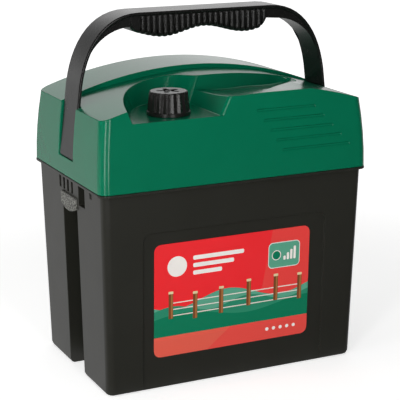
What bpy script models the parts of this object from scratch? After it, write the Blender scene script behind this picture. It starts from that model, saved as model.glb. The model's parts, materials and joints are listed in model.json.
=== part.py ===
"""Battery fence energizer: a box for a 9 V fence battery under an arched lid.

The lid carries the electronics, the rotary switch and a bow handle, and lifts
straight off the box. Two sprung thumb latches sit above the box's side channels.
Metres, +Z up, front towards -Y, origin at the centre of the box's bottom.
"""
import math

import bmesh
import bpy
from mathutils import Vector

# ---------------------------------------------------------------- sizes
GAP = 0.0003                    # clearance left between pieces that touch
SLIDE_GAP = 0.0004              # clearance round a piece that moves

# battery box
BOX_TOP_WIDTH = 0.2580
BOX_TOP_DEPTH = 0.1646
BOX_SIDE_DRAFT = 0.0040         # each side comes in by this much at the bottom
BOX_FRONT_DRAFT = 0.0056
BOX_HEIGHT = 0.1850             # up to the lip
LIP_HEIGHT = 0.0022             # lip that the lid stands on
LIP_PROUD = 0.0003
BOX_RIM_RISE = 0.0045           # rim that goes up inside the lid
BOX_WALL = 0.0026
BOX_FLOOR = 0.0030
BOX_CORNER = 0.0070
BOX_FOOT_ROUND = 0.0040
PANEL_MARGIN = 0.0337           # box on each side of the recessed front panel
PANEL_HEADROOM = 0.0372         # box above the panel, which is open at the bottom
PANEL_DEPTH = 0.0018
PANEL_CORNER = 0.0080
LABEL_MARGIN = 0.0131
LABEL_HEADROOM = 0.0118         # panel above the label
LABEL_BOTTOM = 0.0300
LABEL_SHIFT = -0.0022           # label centre from the box's centre
LABEL_CORNER = 0.0065
LABEL_THICKNESS = 0.0004
CHANNEL_WIDTH = 0.0360          # side channels for a stake or hung-up leads
CHANNEL_DEPTH = 0.0255          # from the box's top edge
CHANNEL_HEADROOM = 0.0147       # box above the channel
RIB_HEIGHT = 0.0120             # ribs that keep the battery in place
RIB_THICKNESS = 0.0020
RIB_LENGTH = 0.0600
SLOT_CENTRES = (0.0235, 0.0135, 0.0035, -0.0070)
SLOT_WIDTH = 0.0044
SLOT_DROP = 0.0132              # bottom of the slots below the box's lip
SLOT_HEIGHT = 0.0114
POCKET_FRONT = -0.0380          # lead pocket beside the slots
POCKET_WIDTH = 0.0150
POCKET_DROP = 0.0200
POCKET_HEIGHT = 0.0180
POCKET_DEPTH = 0.0065
NOTCH_CENTRE = -0.0535
NOTCH_WIDTH = 0.0070
NOTCH_HEIGHT = 0.0055
NOTCH_DEPTH = 0.0012

# thumb latches
LATCH_HEIGHT = 0.0152
LATCH_ARC = 0.0045              # rise of the lower edge at its ends
LATCH_PROUD = 0.0024            # stands out of the box's side
LATCH_THICKNESS = 0.0092
LATCH_EDGE_ROUND = 0.0008
STEM_RADIUS = 0.0030
STEM_DROP = 0.0008              # stem's axis above the latch's middle
CLIP_RADIUS = 0.0060
CLIP_THICKNESS = 0.0012
SPRING_RADIUS = 0.0050
SPRING_WIRE = 0.0008
SPRING_TURNS = 5

# lid
LID_SIDE_LAP = 0.0032           # lid's lower edge stands out past the box
LID_FRONT_LAP = 0.0043
LID_SIDE_DRAFT = 0.0043
LID_FRONT_DRAFT = 0.0051
LID_EAVE_RISE = 0.0629          # from the lid's lower edge to the arch's ends
LID_WALL = 0.0026
LID_CORNER = 0.0090
LID_BULGE = 0.0011
SHELF_RISE = 0.0198             # front part of the top: crown above its ends
BAND_STEP = 0.0062              # rear part of the top stands higher
BAND_EAVE_STEP = 0.0018
LEDGE_WALL = 0.0055             # lid wall above the inner ledge
GASKET_THICKNESS = 0.0015
GROOVE_COUNT = 5
GROOVE_DROP = 0.0024            # top groove below the ends of the arch
GROOVE_PITCH = 0.0092
GROOVE_LENGTH = 0.0590
GROOVE_LEFT = 0.0190
GROOVE_SHIFT = 0.0060           # each groove starts further right
GROOVE_STRETCH = 0.0027         # and is a little longer
GROOVE_WIDTH = 0.0020
GROOVE_DEPTH = 0.0005

# recess in the lid's front edge: a well for the knob and a finger scoop beside it
WELL_FLOOR_RISE = 0.0590        # floor above the lid's lower edge
WELL_INSET = 0.0275             # left side of the well's floor from the lid's top edge
WELL_WIDTH = 0.0839
WELL_REAR = -0.0010
WELL_DRAFT = 0.40               # the well widens by this much of its height
WELL_RIGHT_DRAFT = 0.55
WELL_LIP_ROUND = 0.0036         # where the well's right wall meets the front
KINK_Y = -0.0082                # rear rim where the well meets the scoop
KINK_BEND = 0.0270
SCOOP_FILLET = 0.0045
SCOOP_DISH = 0.0015             # slope's end above the foot
SCOOP_LEAST = 0.0006            # depth where the scoop runs out
SCOOP_SHELF = 0.0171            # flat edge in front of the scoop, above the well's floor
SCOOP_INSET = 0.0271            # scoop's right end from the lid's top edge
SCOOP_SECTIONS = (              # shares: along the scoop, shelf's depth, slope's length
    (-0.030, -0.116, 0.489, 0.0125, -0.0082),       # of the rest; then in metres the foot's
    (0.124, -0.075, 0.508, 0.0114, -0.0082),        # rise and the rear rim's place
    (0.243, -0.034, 0.519, 0.0097, -0.0070),
    (0.362, 0.033, 0.512, 0.0092, -0.0048),
    (0.482, 0.201, 0.472, 0.0092, -0.0020),
    (0.601, 0.329, 0.399, 0.0086, 0.0006),
    (0.703, 0.406, 0.278, 0.0076, 0.0034),
    (0.789, 0.462, 0.169, 0.0070, 0.0062),
    (0.865, 0.534, 0.143, 0.0070, 0.0084),
    (0.929, 0.637, 0.152, 0.0080, 0.0088),
    (0.976, 0.785, 0.213, 0.0096, 0.0058),
    (1.000, 0.891, 0.333, 0.0128, 0.0010))
FILLET_POINTS = ((-0.67, 0.0), (-0.36, 0.04), (-0.11, 0.18), (0.09, 0.37), (0.25, 0.62))

# handle
HANDLE_WIDTH = 0.0350
HANDLE_Y = -0.0010              # handle's middle from the lid's
HANDLE_RISE = 0.1445            # handle's top above the lid's lower edge
HANDLE_STRAP = 0.0030
HANDLE_EDGE = 0.0009
HANDLE_FOOT_RISE = 0.0165
HANDLE_FOOT_INSET = 0.0020      # leg's foot inside the lid's lower edge
HANDLE_SHOULDER = 0.0700        # straight leg ends below the handle's top by this much
HANDLE_LEG_LEAN = 0.0056        # leg comes in by this much up to its top
HANDLE_TOP_INSET = 0.0642       # straight top ends inside the foot by this much
HANDLE_BEND = 0.0370
HANDLE_CORE_INSET = 0.0025      # core lies back from the strap's edges
HANDLE_CORE_DEPTH = 0.0125
HANDLE_INNER_RADIUS = 0.0460
HANDLE_INNER_INSET = 0.0577
POCKET_FRONT_GAP = 0.0005
POCKET_REAR_GAP = 0.0015
BARB_WIDTH = 0.0160
BARB_HEIGHT = 0.0060
BARB_DEPTH = 0.0024
BARB_RISE = 0.0050
GRIP_OVERRUN = 0.0080           # grip's left end past the straight top
GRIP_NOSE = 0.0100
GRIP_STOP = 0.0030              # grip's right end inside the straight top
GRIP_PADS = 23
GRIP_WIDTH = 0.0334
GRIP_GROOVE = 0.0012
GRIP_MEAN_DROP = 0.0198         # underside below the handle's top
GRIP_WAVE = 0.0037
GRIP_WAVE_PITCH = 0.0820
GRIP_END_ROUND = 0.0085

# knob and rotary switch
KNOB_INSET = 0.0460             # knob's axis from the left side of the well's floor
KNOB_SETBACK = 0.0272           # knob's axis behind the lid's front edge
KNOB_RADIUS = 0.0194
KNOB_TOP_RADIUS = 0.0170
KNOB_HEIGHT = 0.0206
KNOB_SKIRT = 0.0030
KNOB_FLUTES = 18
KNOB_FLUTE_DEPTH = 0.0011
KNOB_CHAMFER = 0.0009
STAR_RADIUS = 0.0105
STAR_WAIST = 0.0052
STAR_ARMS = 5
STAR_DEPTH = 0.0034
SHAFT_RADIUS = 0.0030
BUSH_RADIUS = 0.0045
BUSH_RISE = 0.0095              # threaded bush above the well's floor
NUT_FLATS = 0.0130
NUT_HEIGHT = 0.0030
SEAL_RADIUS = 0.0080
SEAL_THICKNESS = 0.0010
SWITCH_RADIUS = 0.0140
SWITCH_DEPTH = 0.0146
SWITCH_WALL = 0.0015
ROTOR_THICKNESS = 0.0040
SWITCH_BASE_THICKNESS = 0.0025
PIN_RADIUS = 0.0009
PIN_LENGTH = 0.0050
PIN_CIRCLE = 0.0090

# electronics on the tray
TRAY_THICKNESS = 0.0025
BOSS_RADIUS = 0.0045
BOSS_INSET = 0.0202             # screw bosses from the lid's lower edge
BOSS_SETBACK = 0.0246
BOSS_MIDDLE_SHIFT = 0.0040
SCREW_RADIUS = 0.0014
SCREW_HEAD_RADIUS = 0.0031
SCREW_HEAD_HEIGHT = 0.0022
SCREW_LENGTH = 0.0110
BOARD_LENGTH = 0.1180
BOARD_DEPTH = 0.0920
BOARD_INSET = 0.0842            # board's middle from the lid's lower edge
BOARD_Y = 0.0060
BOARD_THICKNESS = 0.0016
POST_HEIGHT = 0.0060
POST_RADIUS = 0.0036
POST_INSET = 0.0060
CORE_LENGTH = 0.0480
CORE_HEIGHT = 0.0400
CORE_DEPTH = 0.0200
CORE_LEG = 0.0080
CORE_SHIFT = 0.0240             # from the board's middle, as are the spots below
CORE_Y = 0.0230
BOBBIN_WALL = 0.0010
WINDING_DEPTH = 0.0062
STORAGE_SIZE = (0.0300, 0.0220, 0.0300)
STORAGE_SPOT = (-0.0300, 0.0320)
SUPPLY_RADIUS = 0.0110
SUPPLY_HEIGHT = 0.0300
SUPPLY_SPOT = (-0.0380, -0.0200)
CHOKE_RADIUS = 0.0130
CHOKE_HOLE = 0.0060
CHOKE_HEIGHT = 0.0110
CHOKE_SPOT = (-0.0060, -0.0200)
SINK_SPOT = (0.0400, -0.0230)
SINK_LENGTH = 0.0240
SINK_HEIGHT = 0.0260
SINK_WEB = 0.0020
FIN_LENGTH = 0.0080
FIN_THICKNESS = 0.0016
FIN_COUNT = 5
CHIP_SIZE = (0.0098, 0.0064, 0.0034)
CHIP_SPOT = (0.0170, -0.0060)
OUTPUT_INSET = 0.0422           # studs for the fence and earth leads
OUTPUT_HALF_PITCH = 0.0250
STUD_RADIUS = 0.0025
STUD_HEAD = 0.0050
STUD_DROP = 0.0140
STUD_NUT_FLATS = 0.0080
STUD_NUT_HEIGHT = 0.0040

# battery and its leads
BATTERY_SIDE_ROOM = 0.0085      # between the battery and each channel's back wall
BATTERY_FRONT_ROOM = 0.0142
BATTERY_HEADROOM = 0.0420
BATTERY_CORNER = 0.0060
COVER_HEIGHT = 0.0120
COVER_LIP = 0.0004
TERMINAL_X = 0.0450
TERMINAL_Y = -0.0300
TERMINAL_BASE = 0.0080
TERMINAL_BASE_HEIGHT = 0.0020
TERMINAL_RADIUS = 0.0040
TERMINAL_HEIGHT = 0.0120
CAP_RADIUS = 0.0090
CAP_ROOF = 0.0022
LEAD_RADIUS = 0.0015
LEAD_POINTS = 18
GROMMET_RADIUS = 0.0110
GROMMET_NECK = 0.0085
GROMMET_FLANGE = 0.0016
LEAD_HALF_PITCH = 0.0040

# ---------------------------------------------------------------- worked-out sizes
BOX_BOTTOM_WIDTH = BOX_TOP_WIDTH - 2 * BOX_SIDE_DRAFT
BOX_BOTTOM_DEPTH = BOX_TOP_DEPTH - 2 * BOX_FRONT_DRAFT
PANEL_WIDTH = BOX_BOTTOM_WIDTH - 2 * PANEL_MARGIN
PANEL_TOP = BOX_HEIGHT - PANEL_HEADROOM
LABEL_WIDTH = PANEL_WIDTH - 2 * LABEL_MARGIN
LABEL_HEIGHT = PANEL_TOP - LABEL_HEADROOM - LABEL_BOTTOM
CHANNEL_BACK = BOX_TOP_WIDTH / 2 - CHANNEL_DEPTH
CHANNEL_TOP = BOX_HEIGHT - CHANNEL_HEADROOM
SLOT_BOTTOM = BOX_HEIGHT - SLOT_DROP
POCKET_BOTTOM = BOX_HEIGHT - POCKET_DROP
LID_RIM_WIDTH = BOX_TOP_WIDTH + 2 * LID_SIDE_LAP
LID_RIM_DEPTH = BOX_TOP_DEPTH + 2 * LID_FRONT_LAP
LID_TOP_WIDTH = LID_RIM_WIDTH - 2 * LID_SIDE_DRAFT
LID_TOP_DEPTH = LID_RIM_DEPTH - 2 * LID_FRONT_DRAFT
LID_Z = BOX_HEIGHT + LIP_HEIGHT + GAP
BOX_TOP = LID_Z + BOX_RIM_RISE
LEDGE_Z = BOX_TOP + GASKET_THICKNESS + 2 * GAP
EAVE_Z = LID_Z + LID_EAVE_RISE
GROOVE_TOP = EAVE_Z - GROOVE_DROP
WELL_FLOOR = LID_Z + WELL_FLOOR_RISE
WELL_LEFT = WELL_INSET - LID_TOP_WIDTH / 2
WELL_RIGHT = WELL_LEFT + WELL_WIDTH
SCOOP_LENGTH = LID_TOP_WIDTH / 2 - SCOOP_INSET - WELL_RIGHT
KNOB_X = WELL_LEFT + KNOB_INSET
KNOB_Y = KNOB_SETBACK - LID_TOP_DEPTH / 2
HANDLE_HEIGHT = LID_Z + HANDLE_RISE
HANDLE_FOOT = LID_Z + HANDLE_FOOT_RISE
HANDLE_FOOT_HALF = LID_RIM_WIDTH / 2 - HANDLE_FOOT_INSET
HANDLE_LEG_TOP = HANDLE_HEIGHT - HANDLE_SHOULDER
HANDLE_TOP_HALF = HANDLE_FOOT_HALF - HANDLE_TOP_INSET
HANDLE_INNER_CENTRE = HANDLE_FOOT_HALF - HANDLE_INNER_INSET
GRIP_LEFT = -HANDLE_TOP_HALF - GRIP_OVERRUN
GRIP_PADS_LEFT = GRIP_LEFT + GRIP_NOSE
GRIP_RIGHT = HANDLE_TOP_HALF - GRIP_STOP
SHELF_CROWN = EAVE_Z + SHELF_RISE
BAND_CROWN = SHELF_CROWN + BAND_STEP
ABOVE_ALL = BAND_CROWN + 0.010
POCKET_SIDES = (HANDLE_Y - HANDLE_WIDTH / 2 - POCKET_FRONT_GAP,
                HANDLE_Y + HANDLE_WIDTH / 2 + POCKET_REAR_GAP)
RISER_Y = POCKET_SIDES[1] + 0.0002
TRAY_Z = LEDGE_Z + 0.0001
TRAY_TOP = TRAY_Z + TRAY_THICKNESS
BOARD_X = LID_RIM_WIDTH / 2 - BOARD_INSET
CORE_X = BOARD_X + CORE_SHIFT
OUTPUT_X = OUTPUT_INSET - LID_RIM_WIDTH / 2
BOSS_X = LID_RIM_WIDTH / 2 - BOSS_INSET
BOSS_Y = LID_RIM_DEPTH / 2 - BOSS_SETBACK
BOSS_SPOTS = ((-BOSS_X, -BOSS_Y), (0.0, -BOSS_Y - BOSS_MIDDLE_SHIFT), (BOSS_X, -BOSS_Y),
              (-BOSS_X, BOSS_Y), (0.0, BOSS_Y + BOSS_MIDDLE_SHIFT), (BOSS_X, BOSS_Y))
BOARD_Z = TRAY_TOP + POST_HEIGHT + GAP
BOARD_TOP = BOARD_Z + BOARD_THICKNESS
PARTS_Z = BOARD_TOP + GAP
LATCH_TOP = CHANNEL_TOP - SLIDE_GAP
LATCH_BOTTOM = LATCH_TOP - LATCH_HEIGHT
STEM_Z = (LATCH_TOP + LATCH_BOTTOM) / 2 + STEM_DROP
BATTERY_WIDTH = 2 * (CHANNEL_BACK - BATTERY_SIDE_ROOM)
BATTERY_DEPTH = BOX_BOTTOM_DEPTH - 2 * BATTERY_FRONT_ROOM
BATTERY_HEIGHT = BOX_HEIGHT - BATTERY_HEADROOM
BATTERY_Z = BOX_FLOOR + GAP
COVER_Z = BATTERY_Z + BATTERY_HEIGHT + GAP
COVER_TOP = COVER_Z + COVER_HEIGHT


# ---------------------------------------------------------------- tools
def clear_scene():
    for old in list(bpy.data.objects):
        bpy.data.objects.remove(old, do_unlink=True)


def make_material(name, colour, roughness, metallic=0.0):
    material = bpy.data.materials.new(name)
    material.use_nodes = True
    shader = material.node_tree.nodes["Principled BSDF"]
    shader.inputs["Base Color"].default_value = (*colour, 1.0)
    shader.inputs["Roughness"].default_value = roughness
    shader.inputs["Metallic"].default_value = metallic
    material.diffuse_color = (*colour, 1.0)
    return material


def add_object(name, mesh_edit, material=None, location=(0.0, 0.0, 0.0), parent=None):
    bmesh.ops.recalc_face_normals(mesh_edit, faces=mesh_edit.faces)
    mesh = bpy.data.meshes.new(name)
    mesh_edit.to_mesh(mesh)
    mesh_edit.free()
    if material:
        mesh.materials.append(material)
    piece = bpy.data.objects.new(name, mesh)
    bpy.context.scene.collection.objects.link(piece)
    piece.location = location
    piece.parent = parent
    return piece


def add_empty(name, location):
    empty = bpy.data.objects.new(name, None)
    bpy.context.scene.collection.objects.link(empty)
    empty.location = location
    return empty


def boolean(target, tool, operation="DIFFERENCE", overlapping=False):
    """Cut, join or intersect the target with a tool that stays out of the build."""
    modifier = target.modifiers.new(tool.name, "BOOLEAN")
    modifier.operation = operation
    modifier.solver = "EXACT"
    modifier.use_self = overlapping
    modifier.object = tool
    tool.hide_render = True
    tool.display_type = "WIRE"


def round_edges(piece, width, segments=2, angle=math.radians(40)):
    modifier = piece.modifiers.new("rounded edges", "BEVEL")
    modifier.width = width
    modifier.segments = segments
    modifier.limit_method = "ANGLE"
    modifier.angle_limit = angle


def rounded_outline(half_x, half_y, radius, steps=5, centre=(0.0, 0.0)):
    """Rectangle with round corners, anticlockwise."""
    points = []
    for side_x, side_y, start in ((1, 1, 0), (-1, 1, 90), (-1, -1, 180), (1, -1, 270)):
        for step in range(steps + 1):
            angle = math.radians(start + 90 * step / steps)
            points.append((centre[0] + side_x * (half_x - radius) + radius * math.cos(angle),
                           centre[1] + side_y * (half_y - radius) + radius * math.sin(angle)))
    return points


def regular_outline(flats, sides=6, centre=(0.0, 0.0)):
    radius = flats / 2 / math.cos(math.pi / sides)
    return [(centre[0] + radius * math.cos(2 * math.pi * (k + 0.5) / sides),
             centre[1] + radius * math.sin(2 * math.pi * (k + 0.5) / sides))
            for k in range(sides)]


def circle_outline(radius, steps=20, centre=(0.0, 0.0)):
    return [(centre[0] + radius * math.cos(2 * math.pi * k / steps),
             centre[1] + radius * math.sin(2 * math.pi * k / steps)) for k in range(steps)]


def bezier(p0, p1, p2, p3, steps):
    """Points of a cubic curve, both ends included."""
    corners = [Vector(p) for p in (p0, p1, p2, p3)]
    points = []
    for step in range(steps + 1):
        t = step / steps
        weights = ((1 - t) ** 3, 3 * t * (1 - t) ** 2, 3 * t * t * (1 - t), t ** 3)
        points.append(tuple(sum((w * c for w, c in zip(weights, corners)),
                                Vector([0.0] * len(p0)))))
    return points


def add_prism(mesh_edit, outline, axis, low, high):
    """Extrude an outline along X (outline in YZ), Y (in XZ) or Z (in XY)."""
    place = {"X": lambda a, b, h: (h, a, b),
             "Y": lambda a, b, h: (a, h, b),
             "Z": lambda a, b, h: (a, b, h)}[axis]
    verts = [mesh_edit.verts.new(place(a, b, low)) for a, b in outline]
    face = mesh_edit.faces.new(verts)
    grown = bmesh.ops.extrude_face_region(mesh_edit, geom=[face])["geom"]
    moved = [item for item in grown if isinstance(item, bmesh.types.BMVert)]
    bmesh.ops.translate(mesh_edit, verts=moved, vec=place(0.0, 0.0, high - low))
    return moved


def prism(outline, axis, low, high):
    mesh_edit = bmesh.new()
    add_prism(mesh_edit, outline, axis, low, high)
    return mesh_edit


def add_block(mesh_edit, low, high):
    outline = [(low[0], low[1]), (high[0], low[1]), (high[0], high[1]), (low[0], high[1])]
    add_prism(mesh_edit, outline, "Z", low[2], high[2])


def block(low, high):
    mesh_edit = bmesh.new()
    add_block(mesh_edit, low, high)
    return mesh_edit


def loft(rings):
    """Closed body through rings of equal point count."""
    mesh_edit = bmesh.new()
    loops = [[mesh_edit.verts.new(point) for point in ring] for ring in rings]
    mesh_edit.faces.new(loops[0])
    mesh_edit.faces.new(loops[-1])
    for lower, upper in zip(loops, loops[1:]):
        for k in range(len(lower)):
            j = (k + 1) % len(lower)
            mesh_edit.faces.new((lower[k], lower[j], upper[j], upper[k]))
    return mesh_edit


def turned(profile, segments=24, ring=False):
    """Spin a profile of (radius, height) about Z; ring joins its ends."""
    mesh_edit = bmesh.new()
    verts = [mesh_edit.verts.new((radius, 0.0, height)) for radius, height in profile]
    pairs = list(zip(verts, verts[1:]))
    if ring:
        pairs.append((verts[-1], verts[0]))
    edges = [mesh_edit.edges.new(pair) for pair in pairs]
    bmesh.ops.spin(mesh_edit, geom=verts + edges, cent=(0, 0, 0), axis=(0, 0, 1),
                   angle=2 * math.pi, steps=segments, use_merge=True)
    bmesh.ops.remove_doubles(mesh_edit, verts=mesh_edit.verts, dist=1e-6)
    return mesh_edit


def washer(inner, outer, low, high, segments=24):
    profile = [(inner, low), (outer, low), (outer, high), (inner, high)]
    return turned(profile, segments, ring=True)


def arch_outline(half, end_z, rise, top, steps=36):
    """Space above an arch whose ends, at +-half, are at end_z."""
    radius = (half * half + rise * rise) / (2 * rise)
    reach = half * 1.12
    points = []
    for step in range(steps + 1):
        x = -reach + 2 * reach * step / steps
        points.append((x, end_z + rise - radius + math.sqrt(radius * radius - x * x)))
    return points + [(reach, top), (-reach, top)]


# ---------------------------------------------------------------- shapes that pieces share
def box_half_size(z):
    """Half width and half depth of the drafted box at height z."""
    share = z / BOX_HEIGHT
    return ((BOX_BOTTOM_WIDTH + (BOX_TOP_WIDTH - BOX_BOTTOM_WIDTH) * share) / 2,
            (BOX_BOTTOM_DEPTH + (BOX_TOP_DEPTH - BOX_BOTTOM_DEPTH) * share) / 2)


def lid_half_size(z):
    """Half width and half depth of the lid at height z, with a slight bulge."""
    share = (z - LID_Z) / LID_EAVE_RISE
    bulge = LID_BULGE * 4 * share * (1 - share) if share < 1 else 0.0
    return ((LID_RIM_WIDTH + (LID_TOP_WIDTH - LID_RIM_WIDTH) * share) / 2 + bulge,
            (LID_RIM_DEPTH + (LID_TOP_DEPTH - LID_RIM_DEPTH) * share) / 2 + bulge)


def front_y(z):
    return -box_half_size(z)[1]


def leg_outer_x(z):
    """Outer face of the handle's leg, measured on the right."""
    slope = HANDLE_LEG_LEAN / (HANDLE_LEG_TOP - HANDLE_FOOT)
    return HANDLE_FOOT_HALF - slope * (z - HANDLE_FOOT)


def grip_bottom(x):
    """Height of the grip's wavy underside."""
    middle = HANDLE_HEIGHT - GRIP_MEAN_DROP
    wave = middle + GRIP_WAVE * math.cos(2 * math.pi * x / GRIP_WAVE_PITCH)
    rise = 0.0
    for end, side in ((GRIP_LEFT, 1), (GRIP_RIGHT, -1)):
        inside = (x - end) * side / GRIP_END_ROUND
        if inside < 1:
            rise = 1 - math.sqrt(max(0.0, 1 - (1 - inside) ** 2))
    return wave + (HANDLE_HEIGHT - HANDLE_CORE_DEPTH + 0.001 - wave) * rise


# ---------------------------------------------------------------- the battery box
def make_battery_box(material):
    rings = []
    for z, inset in ((0.0, 0.85), (0.3, 0.30), (1.0, 0.0)):
        half_x, half_y = box_half_size(z * BOX_FOOT_ROUND)
        inward = inset * BOX_FOOT_ROUND
        outline = rounded_outline(half_x - inward, half_y - inward, BOX_CORNER - inward)
        rings.append([(x, y, z * BOX_FOOT_ROUND) for x, y in outline])
    lip_top = BOX_HEIGHT + LIP_HEIGHT
    lip_x, lip_y = LID_RIM_WIDTH / 2 + LIP_PROUD, LID_RIM_DEPTH / 2 + LIP_PROUD
    rim_x, rim_y = box_half_size(BOX_HEIGHT)
    for z, half_x, half_y, corner in (
            (BOX_HEIGHT, rim_x, rim_y, BOX_CORNER), (BOX_HEIGHT, lip_x, lip_y, LID_CORNER),
            (lip_top, lip_x, lip_y, LID_CORNER), (lip_top, rim_x, rim_y, BOX_CORNER),
            (BOX_TOP, rim_x, rim_y, BOX_CORNER)):
        rings.append([(x, y, z) for x, y in rounded_outline(half_x, half_y, corner)])
    box = add_object("battery_box", loft(rings), material)

    rings = []
    for z in (BOX_FLOOR, BOX_TOP + 0.010):
        half_x, half_y = box_half_size(z)
        outline = rounded_outline(half_x - BOX_WALL, half_y - BOX_WALL, BOX_CORNER - BOX_WALL)
        rings.append([(x, y, z) for x, y in outline])
    hollow = add_object("box_hollow", loft(rings))

    kept = bmesh.new()
    channel_half = CHANNEL_WIDTH / 2 + BOX_WALL
    lead_back = box_half_size(POCKET_BOTTOM)[0] - POCKET_DEPTH - BOX_WALL
    rib_x = BATTERY_WIDTH / 2 + GAP
    rib_y = BATTERY_DEPTH / 2 + GAP
    for side in (-1, 1):
        outer = side * BOX_TOP_WIDTH * 0.6
        inner = side * (CHANNEL_BACK - BOX_WALL)
        add_block(kept, (min(inner, outer), -channel_half, -0.010),
                  (max(inner, outer), channel_half, CHANNEL_TOP + BOX_WALL * 0.75))
        inner = side * lead_back
        add_block(kept, (min(inner, outer), POCKET_FRONT - BOX_WALL, POCKET_BOTTOM - BOX_WALL),
                  (max(inner, outer), POCKET_FRONT + POCKET_WIDTH + BOX_WALL,
                   POCKET_BOTTOM + POCKET_HEIGHT + BOX_WALL))
    hollow_keep = add_object("hollow_keep", kept)
    boolean(hollow, hollow_keep, overlapping=True)
    ribs = bmesh.new()
    for side in (-1, 1):
        for place in (-1, 1):
            x = side * (rib_x + RIB_THICKNESS / 2)
            y = place * (BATTERY_DEPTH / 2 - RIB_LENGTH / 4)
            add_block(ribs, (x - RIB_THICKNESS / 2, y - RIB_LENGTH / 4, -0.010),
                      (x + RIB_THICKNESS / 2, y + RIB_LENGTH / 4, BOX_FLOOR + RIB_HEIGHT))
            x = side * (BATTERY_WIDTH / 2 - RIB_LENGTH / 2)
            y = place * (rib_y + RIB_THICKNESS / 2)
            add_block(ribs, (x - RIB_LENGTH / 2, y - RIB_THICKNESS / 2, -0.010),
                      (x + RIB_LENGTH / 2, y + RIB_THICKNESS / 2, BOX_FLOOR + RIB_HEIGHT))
    rib_tool = add_object("battery_ribs", ribs)
    boolean(hollow, rib_tool)
    boolean(box, hollow)

    panel = prism(rounded_outline(PANEL_WIDTH / 2, PANEL_TOP, PANEL_CORNER), "Y",
                  -BOX_TOP_DEPTH, 0.0)
    for vert in panel.verts:
        if vert.co.y > -BOX_TOP_DEPTH / 2:
            vert.co.y = front_y(vert.co.z) + PANEL_DEPTH
    boolean(box, add_object("panel_cut", panel))

    cuts = bmesh.new()
    half = CHANNEL_WIDTH / 2
    for side in (-1, 1):
        outer = side * BOX_TOP_WIDTH * 0.6
        back = side * CHANNEL_BACK
        add_block(cuts, (min(back, outer), -half, -0.010), (max(back, outer), half, CHANNEL_TOP))
        stem_reach = (side * (CHANNEL_BACK - 2 * BOX_WALL), side * (CHANNEL_BACK + 0.001))
        add_prism(cuts, circle_outline(STEM_RADIUS + SLIDE_GAP, 16, (0.0, STEM_Z)), "X",
                  *stem_reach)
    boolean(box, add_object("channel_cut", cuts), overlapping=True)

    cuts = bmesh.new()
    for side in (-1, 1):
        outer = side * BOX_TOP_WIDTH * 0.6
        through = side * (box_half_size(SLOT_BOTTOM)[0] - 2.5 * BOX_WALL)
        for centre in SLOT_CENTRES:
            add_block(cuts, (min(through, outer), centre - SLOT_WIDTH / 2, SLOT_BOTTOM),
                      (max(through, outer), centre + SLOT_WIDTH / 2, SLOT_BOTTOM + SLOT_HEIGHT))
        back = side * (box_half_size(POCKET_BOTTOM)[0] - POCKET_DEPTH)
        add_block(cuts, (min(back, outer), POCKET_FRONT, POCKET_BOTTOM),
                  (max(back, outer), POCKET_FRONT + POCKET_WIDTH, POCKET_BOTTOM + POCKET_HEIGHT))
        back = side * (box_half_size(BOX_HEIGHT)[0] - NOTCH_DEPTH)
        top = POCKET_BOTTOM + POCKET_HEIGHT
        trapezoid = [(NOTCH_CENTRE - NOTCH_WIDTH / 2, top), (NOTCH_CENTRE + NOTCH_WIDTH / 2, top),
                     (NOTCH_CENTRE + NOTCH_WIDTH / 4, top - NOTCH_HEIGHT),
                     (NOTCH_CENTRE - NOTCH_WIDTH / 4, top - NOTCH_HEIGHT)]
        add_prism(cuts, trapezoid, "X", back, outer)
    boolean(box, add_object("side_cuts", cuts))
    return box


def make_label(material):
    outline = rounded_outline(LABEL_WIDTH / 2, LABEL_HEIGHT / 2, LABEL_CORNER, 5,
                              (LABEL_SHIFT, LABEL_BOTTOM + LABEL_HEIGHT / 2))
    plate = prism(outline, "Y", 0.0, LABEL_THICKNESS)
    for vert in plate.verts:
        vert.co.y += front_y(vert.co.z) + PANEL_DEPTH - GAP - LABEL_THICKNESS
    add_object("front_label", plate, material)


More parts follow.
